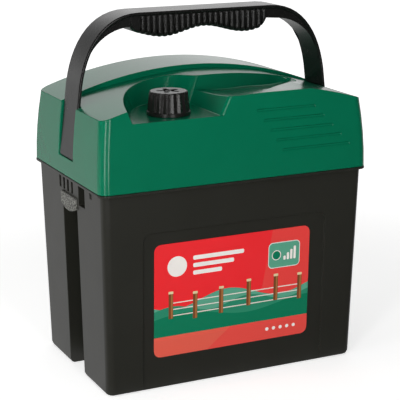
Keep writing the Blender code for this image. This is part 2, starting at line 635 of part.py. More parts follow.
# ---------------------------------------------------------------- the thumb latches
def make_latch(name, side, material, steel):
    """Button, its retaining clip and its spring; the joint runs along X."""
    outer = box_half_size(STEM_Z)[0] + LATCH_PROUD
    back = outer - LATCH_THICKNESS
    joint = add_empty(name + "_slide", (side * outer, 0.0, STEM_Z))
    half = CHANNEL_WIDTH / 2 - SLIDE_GAP
    lower = [(-half + 2 * half * k / 12, LATCH_BOTTOM + LATCH_ARC * (2 * k / 12 - 1) ** 2)
             for k in range(13)]
    outline = lower + [(half, LATCH_TOP), (-half, LATCH_TOP)]
    local = [(y, z - STEM_Z) for y, z in outline]
    thickness = -side * LATCH_THICKNESS
    button = add_object("latch_button_" + name, prism(local, "X", 0.0, thickness), material,
                        parent=joint)
    round_edges(button, LATCH_EDGE_ROUND)
    wall_inside = CHANNEL_BACK - BOX_WALL
    stem_end = wall_inside - GAP - CLIP_THICKNESS - 0.0006
    stem = add_object("latch_stem_" + name, prism(circle_outline(STEM_RADIUS, 16), "X",
                                                  thickness * 0.8, side * (stem_end - outer)),
                      parent=joint)
    boolean(button, stem, "UNION")

    clip_x = wall_inside - GAP - CLIP_THICKNESS
    clip = washer(STEM_RADIUS + GAP, CLIP_RADIUS, 0.0, CLIP_THICKNESS, 16)
    bmesh.ops.rotate(clip, verts=clip.verts, cent=(0, 0, 0),
                     matrix=Vector((0, 0, 1)).rotation_difference(Vector((side, 0, 0))).to_matrix())
    add_object("latch_clip_" + name, clip, steel, (side * (clip_x - outer), 0.0, 0.0), joint)

    wire = SPRING_WIRE / 2
    start = CHANNEL_BACK + GAP + wire
    length = back - GAP - wire - start
    steps = SPRING_TURNS * 6
    coil = bpy.data.curves.new("latch_spring_" + name, "CURVE")
    coil.dimensions = "3D"
    coil.bevel_depth = wire
    coil.bevel_resolution = 1
    coil.use_fill_caps = True
    path = coil.splines.new("POLY")
    path.points.add(steps)
    for k in range(steps + 1):
        turn = 2 * math.pi * SPRING_TURNS * k / steps
        path.points[k].co = (side * (start + length * k / steps),
                             (SPRING_RADIUS - wire) * math.cos(turn),
                             STEM_Z + (SPRING_RADIUS - wire) * math.sin(turn), 1.0)
    coil.materials.append(steel)
    spring = bpy.data.objects.new("latch_spring_" + name, coil)
    bpy.context.scene.collection.objects.link(spring)


# ---------------------------------------------------------------- the lid
def arch_height(x):
    """Height of the front part of the lid's top at x."""
    half = LID_TOP_WIDTH / 2
    radius = (half * half + SHELF_RISE * SHELF_RISE) / (2 * SHELF_RISE)
    return SHELF_CROWN - radius + math.sqrt(radius * radius - x * x)


def well_plan(grow, rise):
    """Plan of the knob well at a height above its floor, open to the front."""
    left = WELL_LEFT - grow - WELL_DRAFT * rise
    right = WELL_RIGHT + grow + WELL_RIGHT_DRAFT * rise
    rear = WELL_REAR + grow + WELL_DRAFT * rise
    rim_rise = arch_height(WELL_RIGHT) - WELL_FLOOR
    kink = KINK_Y + grow + WELL_DRAFT * (rise - rim_rise)
    front = -LID_RIM_DEPTH
    points = [(left, front)]
    depth = rear + LID_TOP_DEPTH / 2
    points += bezier((left, -LID_TOP_DEPTH / 2), (left + 0.15 * WELL_WIDTH, rear - 0.466 * depth),
                     (left + 0.36 * WELL_WIDTH, rear), (right - KINK_BEND, rear), 16)
    points += bezier((right - KINK_BEND, rear), (right - 0.4 * KINK_BEND, rear),
                     (right - 0.33 * KINK_BEND, kink), (right, kink), 9)[1:]
    if grow == 0.0:
        face = -lid_half_size(WELL_FLOOR + rise)[1]
        for angle in (0, 20, 40, 60, 80):
            turn = math.radians(angle)
            points.append((right + WELL_LIP_ROUND * (1 - math.cos(turn)),
                           face + WELL_LIP_ROUND * (1 - math.sin(turn))))
    points.append((points[-1][0], front))
    return points


def scoop_section(x, row, grow):
    """Section of the scoop's tool at x: shelf, slope, foot with its fillet, rear wall."""
    shelf_share, slope_share, foot_rise, rim = row
    front = -LID_TOP_DEPTH / 2
    edge = front + shelf_share * (rim - front)
    slope_end = edge + slope_share * (rim - edge)
    base = WELL_FLOOR - grow
    depth = max(arch_height(x) - WELL_FLOOR - foot_rise, SCOOP_LEAST)
    foot_y = rim + grow - WELL_DRAFT * depth
    fillet = min(SCOOP_FILLET, depth)
    section = [(x, -LID_RIM_DEPTH, base + SCOOP_SHELF), (x, edge - grow, base + SCOOP_SHELF),
               (x, slope_end - grow, base + foot_rise + SCOOP_DISH)]
    for along, up in FILLET_POINTS:
        section.append((x, foot_y + along * fillet, base + foot_rise + up * fillet))
    rim_z = base + foot_rise + depth
    section += [(x, rim + grow, rim_z),
                (x, rim + grow + WELL_DRAFT * (ABOVE_ALL - rim_z), ABOVE_ALL),
                (x, -LID_RIM_DEPTH, ABOVE_ALL)]
    return section


def make_recess(name, grow):
    """Tool for the recess; grow makes it larger all round by one wall."""
    rings = []
    for z in (WELL_FLOOR - grow, ABOVE_ALL):
        rings.append([(x, y, z) for x, y in well_plan(grow, z - WELL_FLOOR)])
    tool = add_object(name, loft(rings))
    rings = []
    for share, *row in SCOOP_SECTIONS:
        x = WELL_RIGHT + share * SCOOP_LENGTH
        rings.append(scoop_section(x + (grow if share == 1.0 else 0.0), row, grow))
    boolean(tool, add_object(name + "_scoop", loft(rings)), "UNION")
    return tool


def leg_pocket_outline(side):
    """Side pocket for a handle leg, in XZ."""
    foot = HANDLE_FOOT - GAP
    inner_foot = leg_outer_x(foot) - HANDLE_STRAP - GAP
    inner_top = leg_outer_x(ABOVE_ALL) - HANDLE_STRAP - GAP
    return [(side * inner_foot, foot), (side * LID_RIM_WIDTH, foot),
            (side * LID_RIM_WIDTH, ABOVE_ALL), (side * inner_top, ABOVE_ALL)]


def make_lid(material):
    rings = []
    levels = [LID_Z + LID_EAVE_RISE * share for share in (0.0, 0.25, 0.5, 0.75, 1.0)]
    levels.append(ABOVE_ALL + 0.002)
    for z in levels:
        half_x, half_y = lid_half_size(z)
        rings.append([(x, y, z) for x, y in rounded_outline(half_x, half_y, LID_CORNER, 6)])
    lid = add_object("lid", loft(rings), material)

    half = LID_TOP_WIDTH / 2
    shelf = arch_outline(half, EAVE_Z, SHELF_RISE, ABOVE_ALL + 0.010)
    boolean(lid, add_object("shelf_cut", prism(shelf, "Y", -LID_RIM_DEPTH, RISER_Y)))
    band = arch_outline(half, EAVE_Z + BAND_EAVE_STEP,
                        SHELF_RISE + BAND_STEP - BAND_EAVE_STEP, ABOVE_ALL + 0.012)
    boolean(lid, add_object("band_cut", prism(band, "Y", RISER_Y - 0.002, LID_RIM_DEPTH)))

    boolean(lid, make_recess("recess", 0.0))

    pockets = bmesh.new()
    for side in (-1, 1):
        add_prism(pockets, leg_pocket_outline(side), "Y", *POCKET_SIDES)
    boolean(lid, add_object("leg_pockets", pockets))
    windows = bmesh.new()
    for side in (-1, 1):
        low = HANDLE_FOOT + BARB_RISE - 2 * GAP
        inner = leg_outer_x(low) - HANDLE_STRAP - BARB_DEPTH - 4 * GAP
        outer = leg_outer_x(low) - HANDLE_STRAP / 2
        barb_half = BARB_WIDTH / 2 + 2 * GAP
        add_block(windows, (min(side * inner, side * outer), HANDLE_Y - barb_half, low),
                  (max(side * inner, side * outer), HANDLE_Y + barb_half,
                   low + BARB_HEIGHT + 4 * GAP))
    boolean(lid, add_object("barb_windows", windows))

    grooves = bmesh.new()
    for k in range(GROOVE_COUNT):
        z = GROOVE_TOP - k * GROOVE_PITCH
        left = GROOVE_LEFT + k * GROOVE_SHIFT
        length = GROOVE_LENGTH + k * GROOVE_STRETCH
        surface = -lid_half_size(z)[1]
        outline = rounded_outline(length / 2, GROOVE_WIDTH / 2, GROOVE_WIDTH * 0.49, 3,
                                  (left + length / 2, z))
        add_prism(grooves, outline, "Y", -LID_RIM_DEPTH, surface + GROOVE_DEPTH)
    boolean(lid, add_object("front_grooves", grooves))

    make_lid_hollow(lid)
    return lid


def make_lid_hollow(lid):
    skirt = rounded_outline(LID_RIM_WIDTH / 2 - LID_WALL, LID_RIM_DEPTH / 2 - LID_WALL,
                            LID_CORNER - LID_WALL)
    boolean(lid, add_object("skirt_cut", prism(skirt, "Z", LID_Z - 0.010, LEDGE_Z)))

    levels = [(LEDGE_Z - 0.002, LEDGE_WALL), (LEDGE_Z + 0.005, LEDGE_WALL),
              (LEDGE_Z + 0.009, LID_WALL), (EAVE_Z, LID_WALL), (ABOVE_ALL, LID_WALL)]
    rings = []
    for z, wall in levels:
        half_x, half_y = lid_half_size(z)
        outline = rounded_outline(half_x - wall, half_y - wall, LID_CORNER - LID_WALL)
        rings.append([(x, y, z) for x, y in outline])
    hollow = add_object("lid_hollow", loft(rings))
    half = LID_TOP_WIDTH / 2
    shelf = arch_outline(half, EAVE_Z - LID_WALL, SHELF_RISE, ABOVE_ALL + 0.010, 18)
    boolean(hollow, add_object("hollow_shelf",
                               prism(shelf, "Y", -LID_RIM_DEPTH, RISER_Y + LID_WALL)))
    band = arch_outline(half, EAVE_Z + BAND_EAVE_STEP - LID_WALL,
                        SHELF_RISE + BAND_STEP - BAND_EAVE_STEP, ABOVE_ALL + 0.012, 18)
    boolean(hollow, add_object("hollow_band", prism(band, "Y", RISER_Y, LID_RIM_DEPTH)))
    boolean(hollow, make_recess("recess_wall", LID_WALL))

    kept = bmesh.new()
    pad_inner = leg_outer_x(ABOVE_ALL) - HANDLE_STRAP - BARB_DEPTH - LID_WALL
    for side in (-1, 1):
        low, high = sorted((side * pad_inner, side * LID_RIM_WIDTH))
        add_block(kept, (low, POCKET_SIDES[0] - LID_WALL, HANDLE_FOOT - LID_WALL),
                  (high, POCKET_SIDES[1] + LID_WALL, ABOVE_ALL))
    for x, y in BOSS_SPOTS:
        add_prism(kept, circle_outline(BOSS_RADIUS, 16, (x, y)), "Z", TRAY_TOP + GAP, ABOVE_ALL)
    boolean(hollow, add_object("hollow_kept", kept))
    boolean(lid, hollow)

    holes = bmesh.new()
    pilot = SCREW_RADIUS + GAP
    for x, y in BOSS_SPOTS:
        add_prism(holes, circle_outline(pilot, 12, (x, y)), "Z", TRAY_Z, TRAY_Z + SCREW_LENGTH)
    add_prism(holes, circle_outline(BUSH_RADIUS + GAP, 20, (KNOB_X, KNOB_Y)), "Z",
              WELL_FLOOR - 3 * LID_WALL, WELL_FLOOR + LID_WALL)
    boolean(lid, add_object("lid_holes", holes))


def make_gasket(material):
    half_x, half_y = box_half_size(BOX_TOP)
    outer = rounded_outline(half_x - 2 * GAP, half_y - 2 * GAP, BOX_CORNER)
    inner = rounded_outline(half_x - BOX_WALL, half_y - BOX_WALL, BOX_CORNER - BOX_WALL)
    low = BOX_TOP + GAP
    ring = add_object("lid_gasket", prism(outer, "Z", low, low + GASKET_THICKNESS), material)
    boolean(ring, add_object("gasket_hole", prism(inner, "Z", low - 0.001, LEDGE_Z + 0.001)))


# ---------------------------------------------------------------- the handle
def handle_curve(offset):
    """Outer curve of the strap's right half, moved inwards by offset, foot to middle."""
    slope = HANDLE_LEG_LEAN / (HANDLE_LEG_TOP - HANDLE_FOOT)
    top = HANDLE_HEIGHT
    leg_top = (HANDLE_FOOT_HALF - HANDLE_LEG_LEAN, HANDLE_LEG_TOP)
    curve = [(HANDLE_FOOT_HALF, HANDLE_FOOT)]
    curve += bezier(leg_top, (leg_top[0] - slope * HANDLE_BEND, leg_top[1] + HANDLE_BEND),
                    (HANDLE_TOP_HALF + HANDLE_BEND, top), (HANDLE_TOP_HALF, top), 14)
    moved = []
    for k, (x, z) in enumerate(curve):
        before = curve[max(k - 1, 0)]
        after = curve[min(k + 1, len(curve) - 1)]
        if k == len(curve) - 1:
            normal = Vector((0.0, 1.0))
        else:
            along = Vector((after[0] - before[0], after[1] - before[1])).normalized()
            normal = Vector((along[1], -along[0]))
        moved.append((x - normal[0] * offset, z - normal[1] * offset))
    return moved


def mirrored(curve):
    return curve + [(-x, z) for x, z in reversed(curve)]


def make_handle(material):
    outer = mirrored(handle_curve(0.0))
    inner = mirrored(handle_curve(HANDLE_STRAP))
    half = HANDLE_WIDTH / 2
    strap = outer + inner[::-1]
    handle = add_object("handle", prism(strap, "Y", HANDLE_Y - half, HANDLE_Y + half), material)
    round_edges(handle, HANDLE_EDGE, 1, math.radians(60))

    start = math.asin(0.20)
    arc_end = HANDLE_HEIGHT - HANDLE_CORE_DEPTH - HANDLE_INNER_RADIUS * 0.80
    leg_face = min(handle_curve(HANDLE_STRAP), key=lambda point: abs(point[1] - arc_end))
    arc = [(leg_face[0] + 0.0008, arc_end - 0.0050)]
    for step in range(13):
        angle = start + (math.pi / 2 - start) * step / 12
        arc.append((HANDLE_INNER_CENTRE + HANDLE_INNER_RADIUS * math.cos(angle),
                    HANDLE_HEIGHT - HANDLE_CORE_DEPTH - HANDLE_INNER_RADIUS
                    + HANDLE_INNER_RADIUS * math.sin(angle)))
    middle = mirrored([point for point in handle_curve(HANDLE_STRAP * 0.6) if point[1] > arc[0][1]])
    under = mirrored(arc)
    core_half = half - HANDLE_CORE_INSET
    core = add_object("handle_core", prism(middle + under[::-1], "Y", HANDLE_Y - core_half,
                                           HANDLE_Y + core_half))
    boolean(handle, core, "UNION")
    boolean(handle, make_grip(), "UNION")

    barbs = bmesh.new()
    for side in (-1, 1):
        low = HANDLE_FOOT + BARB_RISE
        face = leg_outer_x(low) - HANDLE_STRAP
        outline = [(side * (face + 0.001), low), (side * (face - BARB_DEPTH), low),
                   (side * (face + 0.0004), low + BARB_HEIGHT)]
        add_prism(barbs, outline, "Y", HANDLE_Y - BARB_WIDTH / 2, HANDLE_Y + BARB_WIDTH / 2)
    boolean(handle, add_object("handle_barbs", barbs), "UNION")


def make_grip():
    """Ribbed grip as a loft along X: convex pads with narrow grooves between them."""
    stations = [(GRIP_LEFT + 0.0001, 0.0)]
    nose = GRIP_PADS_LEFT - GRIP_LEFT
    stations += [(GRIP_LEFT + nose * share, 0.0) for share in (0.12, 0.3, 0.6, 0.95)]
    pitch = (GRIP_RIGHT - GRIP_PADS_LEFT) / GRIP_PADS
    for k in range(GRIP_PADS):
        left = GRIP_PADS_LEFT + k * pitch
        stations += [(left, GRIP_GROOVE), (left + 0.2 * pitch, GRIP_GROOVE * 0.2),
                     (left + 0.8 * pitch, GRIP_GROOVE * 0.2)]
    stations.append((GRIP_RIGHT, GRIP_GROOVE))
    top = HANDLE_HEIGHT - HANDLE_STRAP * 0.5
    rings = []
    for x, inset in stations:
        half = GRIP_WIDTH / 2 - inset
        low = grip_bottom(x) + inset
        corner = 0.0045
        ring = [(x, HANDLE_Y + half, top), (x, HANDLE_Y - half, top)]
        for centre, start in ((HANDLE_Y - half + corner, 180), (HANDLE_Y + half - corner, 270)):
            for step in range(3):
                angle = math.radians(start + 45 * step)
                ring.append((x, centre + corner * math.cos(angle),
                             low + corner + corner * math.sin(angle)))
        rings.append(ring)
    return add_object("handle_grip", loft(rings))


# ---------------------------------------------------------------- knob and switch
def make_knob(material, axle):
    points = KNOB_FLUTES * 4
    base = GAP
    levels = [(base, KNOB_RADIUS, 0.0), (base + KNOB_SKIRT, KNOB_RADIUS, 0.0),
              (base + KNOB_SKIRT + 0.0004, KNOB_RADIUS - 0.0005, KNOB_FLUTE_DEPTH),
              (base + KNOB_HEIGHT - KNOB_CHAMFER, KNOB_TOP_RADIUS, KNOB_FLUTE_DEPTH),
              (base + KNOB_HEIGHT, KNOB_TOP_RADIUS - KNOB_CHAMFER, 0.0)]
    rings = []
    for z, radius, depth in levels:
        ring = []
        for k in range(points):
            angle = 2 * math.pi * k / points
            valley = 0.5 - 0.5 * math.cos(KNOB_FLUTES * angle)
            reach = radius - depth * valley
            ring.append((reach * math.cos(angle), reach * math.sin(angle), z))
        rings.append(ring)
    knob = add_object("switch_knob", loft(rings), material, parent=axle)
    under = BUSH_RISE + 2 * GAP
    shaft_top = base + KNOB_HEIGHT - STAR_DEPTH - 0.0034
    hollow = turned([(0.0, -0.001), (NUT_FLATS * 0.80, -0.001), (NUT_FLATS * 0.80, under),
                     (SHAFT_RADIUS + GAP, under), (SHAFT_RADIUS + GAP, shaft_top),
                     (0.0, shaft_top)], 24)
    boolean(knob, add_object("knob_hollow", hollow, parent=axle))
    star = []
    for k in range(STAR_ARMS * 4):
        angle = 2 * math.pi * (k + 0.5) / (STAR_ARMS * 4)
        star.append((STAR_RADIUS if k % 4 in (0, 1) else STAR_WAIST, angle))
    star = [(reach * math.cos(angle), reach * math.sin(angle)) for reach, angle in star]
    top = base + KNOB_HEIGHT
    boolean(knob, add_object("knob_star", prism(star, "Z", top - STAR_DEPTH, top + 0.001),
                             parent=axle))
    return shaft_top


def make_switch(brass, dark, steel, axle, shaft_top):
    """Bushed rotary switch hung under the well's floor; heights are above that floor."""
    under = -LID_WALL - GAP
    cup_low = under - SWITCH_DEPTH
    bore = SHAFT_RADIUS + SLIDE_GAP
    cup_inner = SWITCH_RADIUS - SWITCH_WALL
    spot = (KNOB_X, KNOB_Y, WELL_FLOOR)
    profile = [(bore, BUSH_RISE), (BUSH_RADIUS, BUSH_RISE), (BUSH_RADIUS, under),
               (SWITCH_RADIUS, under), (SWITCH_RADIUS, cup_low), (cup_inner, cup_low),
               (cup_inner, under - SWITCH_WALL), (bore, under - SWITCH_WALL)]
    add_object("switch_housing", turned(profile, 24, ring=True), dark, spot)
    add_object("shaft_seal", washer(BUSH_RADIUS + GAP, SEAL_RADIUS, GAP, GAP + SEAL_THICKNESS),
               dark, spot)
    nut_low = SEAL_THICKNESS + 2 * GAP
    nut = add_object("switch_nut", prism(regular_outline(NUT_FLATS), "Z", nut_low,
                                         nut_low + NUT_HEIGHT), steel, spot)
    boolean(nut, add_object("nut_hole", prism(circle_outline(BUSH_RADIUS + GAP), "Z", 0.0, 0.02),
                            None, spot))
    base_top = cup_low - GAP
    base = add_object("switch_base", turned([(0.0, base_top), (SWITCH_RADIUS, base_top),
                                             (SWITCH_RADIUS, base_top - SWITCH_BASE_THICKNESS),
                                             (0.0, base_top - SWITCH_BASE_THICKNESS)], 24),
                      dark, spot)
    pins = bmesh.new()
    for k in range(3):
        angle = 2 * math.pi * k / 3
        centre = (PIN_CIRCLE * math.cos(angle), PIN_CIRCLE * math.sin(angle))
        add_prism(pins, circle_outline(PIN_RADIUS, 8, centre), "Z",
                  base_top - SWITCH_BASE_THICKNESS - PIN_LENGTH, base_top - 0.001)
    boolean(base, add_object("switch_pins", pins, None, spot), "UNION")
    shaft_low = base_top + GAP
    shaft = turned([(0.0, shaft_low), (SHAFT_RADIUS, shaft_low),
                    (SHAFT_RADIUS, shaft_top - GAP), (0.0, shaft_top - GAP)], 20)
    add_object("switch_shaft", shaft, brass, parent=axle)
    rotor_low = shaft_low + 0.0040
    rotor = washer(SHAFT_RADIUS + GAP, cup_inner - SLIDE_GAP, rotor_low,
                   rotor_low + ROTOR_THICKNESS)
    add_object("switch_rotor", rotor, dark, parent=axle)


# ---------------------------------------------------------------- tray and electronics
def screw_mesh(length):
    """Pan-head screw pointing up, head's top face at z = 0."""
    return turned([(0.0, -SCREW_HEAD_HEIGHT), (SCREW_HEAD_RADIUS * 0.7, -SCREW_HEAD_HEIGHT),
                   (SCREW_HEAD_RADIUS, -SCREW_HEAD_HEIGHT * 0.5), (SCREW_HEAD_RADIUS, 0.0),
                   (SCREW_RADIUS, 0.0), (SCREW_RADIUS, length), (0.0, length + SCREW_RADIUS)], 8)


def board_spot(spot):
    return BOARD_X + spot[0], spot[1]


def board_corners():
    x = BOARD_LENGTH / 2 - POST_INSET
    y = BOARD_DEPTH / 2 - POST_INSET
    return [(BOARD_X + side_x * x, BOARD_Y + side_y * y) for side_x in (-1, 1) for side_y in (-1, 1)]


def make_tray(material):
    half_x, half_y = lid_half_size(LEDGE_Z)
    outline = rounded_outline(half_x - LEDGE_WALL - SLIDE_GAP, half_y - LEDGE_WALL - SLIDE_GAP,
                              LID_CORNER - LID_WALL)
    tray = add_object("electronics_tray", prism(outline, "Z", TRAY_Z, TRAY_TOP), material)
    posts = bmesh.new()
    for corner in board_corners():
        add_prism(posts, circle_outline(POST_RADIUS, 12, corner), "Z", TRAY_Z + 0.0005,
                  TRAY_TOP + POST_HEIGHT)
    boolean(tray, add_object("tray_posts", posts), "UNION")
    holes = bmesh.new()
    for spot in BOSS_SPOTS:
        add_prism(holes, circle_outline(SCREW_RADIUS + GAP, 12, spot), "Z",
                  TRAY_Z - 0.001, TRAY_TOP + 0.001)
    for spot in board_corners():
        add_prism(holes, circle_outline(SCREW_RADIUS + GAP, 12, spot), "Z",
                  TRAY_TOP + 0.0005, TRAY_TOP + POST_HEIGHT + 0.001)
    add_prism(holes, circle_outline(GROMMET_NECK + GAP, 20), "Z", TRAY_Z - 0.001,
              TRAY_TOP + 0.001)
    for side in (-1, 1):
        spot = (OUTPUT_X, side * OUTPUT_HALF_PITCH)
        add_prism(holes, circle_outline(STUD_RADIUS + GAP, 12, spot), "Z",
                  TRAY_Z - 0.001, TRAY_TOP + 0.001)
    boolean(tray, add_object("tray_holes", holes))


def make_tray_screws(steel):
    for k, (x, y) in enumerate(BOSS_SPOTS):
        add_object("tray_screw_%d" % (k + 1), screw_mesh(SCREW_LENGTH - 0.0030), steel,
                   (x, y, TRAY_Z - GAP))


def make_board(green, steel):
    half_x, half_y = BOARD_LENGTH / 2, BOARD_DEPTH / 2
    board = add_object("circuit_board", prism(rounded_outline(half_x, half_y, 0.002, 3,
                                                              (BOARD_X, BOARD_Y)),
                                              "Z", BOARD_Z, BOARD_TOP), green)
    holes = bmesh.new()
    for spot in board_corners():
        add_prism(holes, circle_outline(SCREW_RADIUS + GAP, 12, spot), "Z",
                  BOARD_Z - 0.001, BOARD_TOP + 0.001)
    boolean(board, add_object("board_holes", holes))
    for k, (x, y) in enumerate(board_corners()):
        screw = screw_mesh(POST_HEIGHT + BOARD_THICKNESS - SCREW_RADIUS - 0.0005)
        bmesh.ops.rotate(screw, verts=screw.verts, cent=(0, 0, 0),
                         matrix=Vector((0, 0, 1)).rotation_difference(Vector((0, 0, -1))).to_matrix())
        add_object("board_screw_%d" % (k + 1), screw, steel, (x, y, PARTS_Z))


def make_transformer(iron, plastic, copper):
    """Core with two windows, bobbin on its middle leg and the winding round it."""
    low = PARTS_Z
    outline = [(CORE_X - CORE_LENGTH / 2, low), (CORE_X + CORE_LENGTH / 2, low),
               (CORE_X + CORE_LENGTH / 2, low + CORE_HEIGHT),
               (CORE_X - CORE_LENGTH / 2, low + CORE_HEIGHT)]
    core = add_object("transformer_core", prism(outline, "Y", CORE_Y - CORE_DEPTH / 2,
                                                CORE_Y + CORE_DEPTH / 2), iron)
    middle = CORE_LEG * 0.8
    window_out = CORE_LENGTH / 2 - CORE_LEG
    window_low = low + CORE_LEG
    window_high = low + CORE_HEIGHT - CORE_LEG
    windows = bmesh.new()
    for side in (-1, 1):
        first, last = sorted((CORE_X + side * middle, CORE_X + side * window_out))
        add_block(windows, (first, CORE_Y - CORE_DEPTH, window_low),
                  (last, CORE_Y + CORE_DEPTH, window_high))
    boolean(core, add_object("core_windows", windows))

    hole_x, hole_y = middle + GAP, CORE_DEPTH / 2 + GAP
    flange_x = window_out - GAP
    flange_y = hole_y + BOBBIN_WALL + WINDING_DEPTH + 0.001
    wall_x, wall_y = hole_x + BOBBIN_WALL, hole_y + BOBBIN_WALL
    bottom, top = window_low + GAP, window_high - GAP
    centre = (CORE_X, CORE_Y)
    levels = [(bottom, flange_x, flange_y), (bottom + BOBBIN_WALL, flange_x, flange_y),
              (bottom + BOBBIN_WALL, wall_x, wall_y), (top - BOBBIN_WALL, wall_x, wall_y),
              (top - BOBBIN_WALL, flange_x, flange_y), (top, flange_x, flange_y)]
    rings = [[(x, y, z) for x, y in rounded_outline(half_x, half_y, 0.0008, 2, centre)]
             for z, half_x, half_y in levels]
    bobbin = add_object("transformer_bobbin", loft(rings), plastic)
    leg_hole = rounded_outline(hole_x, hole_y, 0.0002, 1, centre)
    boolean(bobbin, add_object("bobbin_hole", prism(leg_hole, "Z", bottom - 0.001, top + 0.001)))

    reach = min(WINDING_DEPTH, flange_x - wall_x - GAP)
    low, high = bottom + BOBBIN_WALL + GAP, top - BOBBIN_WALL - GAP
    outer = rounded_outline(wall_x + reach, wall_y + WINDING_DEPTH, 0.004, 5, centre)
    inner = rounded_outline(wall_x + GAP, wall_y + GAP, 0.0008, 2, centre)
    winding = add_object("transformer_winding", prism(outer, "Z", low, high), copper)
    boolean(winding, add_object("winding_hole", prism(inner, "Z", low - 0.001, high + 0.001)))


def make_board_parts(colours):
    low = PARTS_Z
    x, y = board_spot(STORAGE_SPOT)
    size_x, size_y, size_z = STORAGE_SIZE
    rings = []
    for z, inset in ((0.0, 0.0008), (0.0008, 0.0), (size_z - 0.0008, 0.0), (size_z, 0.0008)):
        rings.append([(px, py, low + z) for px, py in
                      rounded_outline(size_x / 2 - inset, size_y / 2 - inset, 0.0012, 2, (x, y))])
    add_object("storage_capacitor", loft(rings), colours["cream"])

    x, y = board_spot(SUPPLY_SPOT)
    r, h = SUPPLY_RADIUS, SUPPLY_HEIGHT
    can = turned([(0.0, 0.0), (r - 0.0008, 0.0), (r, 0.0008), (r, 0.0030), (r - 0.0006, 0.0036),
                  (r, 0.0042), (r, h - 0.0008), (r - 0.0008, h), (0.0, h)], 24)
    add_object("supply_capacitor", can, colours["dark_blue"], (x, y, low))

    x, y = board_spot(CHOKE_SPOT)
    middle = (CHOKE_RADIUS + CHOKE_HOLE) / 2
    half = (CHOKE_RADIUS - CHOKE_HOLE) / 2
    profile = []
    for px, pz in rounded_outline(half, CHOKE_HEIGHT / 2, half * 0.8, 2):
        profile.append((middle + px, CHOKE_HEIGHT / 2 + pz))
    add_object("choke", turned(profile, 18, ring=True), colours["copper"], (x, y, low))

    x, y = board_spot(SINK_SPOT)
    length, height = SINK_LENGTH, SINK_HEIGHT
    outline = [(x - length / 2, y), (x + length / 2, y), (x + length / 2, y + SINK_WEB)]
    pitch = (length - FIN_THICKNESS) / (FIN_COUNT - 1)
    for k in reversed(range(FIN_COUNT)):
        left = x - length / 2 + k * pitch
        right = left + FIN_THICKNESS
        if k < FIN_COUNT - 1:
            outline.append((right, y + SINK_WEB))
        outline += [(right, y + SINK_WEB + FIN_LENGTH), (left, y + SINK_WEB + FIN_LENGTH)]
        if k > 0:
            outline.append((left, y + SINK_WEB))
    outline.append((x - length / 2, y + SINK_WEB))
    unique = [point for k, point in enumerate(outline) if point != outline[k - 1]]
    add_object("heat_sink", prism(unique, "Z", low, low + height), colours["aluminium"])
    add_object("thyristor", block((x - 0.0051, y - GAP - 0.0044, low + 0.006),
                                  (x + 0.0051, y - GAP, low + 0.0215)), colours["black"])

    x, y = board_spot(CHIP_SPOT)
    size_x, size_y, size_z = CHIP_SIZE
    add_object("control_chip", block((x - size_x / 2, y - size_y / 2, low),
                                     (x + size_x / 2, y + size_y / 2, low + size_z)),
               colours["black"])


def make_outputs(brass):
    """Studs through the tray for the leads to the fence and to the earth stake."""
    for name, side in (("fence", 1), ("earth", -1)):
        spot = (OUTPUT_X, side * OUTPUT_HALF_PITCH, TRAY_Z)
        head = TRAY_THICKNESS + GAP
        stud = turned([(0.0, -STUD_DROP), (STUD_RADIUS, -STUD_DROP), (STUD_RADIUS, head),
                       (STUD_HEAD, head), (STUD_HEAD, head + 0.0015), (0.0, head + 0.0015)], 16)
        add_object(name + "_stud", stud, brass, spot)
        nut = add_object(name + "_nut", prism(regular_outline(STUD_NUT_FLATS), "Z",
                                              -GAP - STUD_NUT_HEIGHT, -GAP), brass, spot)
        boolean(nut, add_object(name + "_nut_hole",
                                prism(circle_outline(STUD_RADIUS + GAP, 16), "Z",
                                      -0.010, 0.001), None, spot))


# ---------------------------------------------------------------- battery and leads
def make_battery(grey, dark, brass):
    rings = []
    for z, inset in ((BATTERY_Z, 0.001), (BATTERY_Z + 0.001, 0.0),
                     (BATTERY_Z + BATTERY_HEIGHT, 0.0)):
        outline = rounded_outline(BATTERY_WIDTH / 2 - inset - COVER_LIP,
                                  BATTERY_DEPTH / 2 - inset - COVER_LIP, BATTERY_CORNER)
        rings.append([(x, y, z) for x, y in outline])
    add_object("battery_case", loft(rings), grey)
    rings = []
    for z, inset in ((COVER_Z, 0.0), (COVER_TOP - 0.002, 0.0), (COVER_TOP, 0.002)):
        outline = rounded_outline(BATTERY_WIDTH / 2 - inset, BATTERY_DEPTH / 2 - inset,
                                  BATTERY_CORNER)
        rings.append([(x, y, z) for x, y in outline])
    add_object("battery_cover", loft(rings), dark)
    for name, side in (("positive", -1), ("negative", 1)):
        low = COVER_TOP + GAP
        base_top = low + TERMINAL_BASE_HEIGHT
        post = turned([(0.0, low), (TERMINAL_BASE, low), (TERMINAL_BASE, base_top),
                       (TERMINAL_RADIUS, base_top), (TERMINAL_RADIUS, low + TERMINAL_HEIGHT),
                       (0.0, low + TERMINAL_HEIGHT)], 20)
        add_object("battery_terminal_" + name, post, brass, (side * TERMINAL_X, TERMINAL_Y, 0.0))


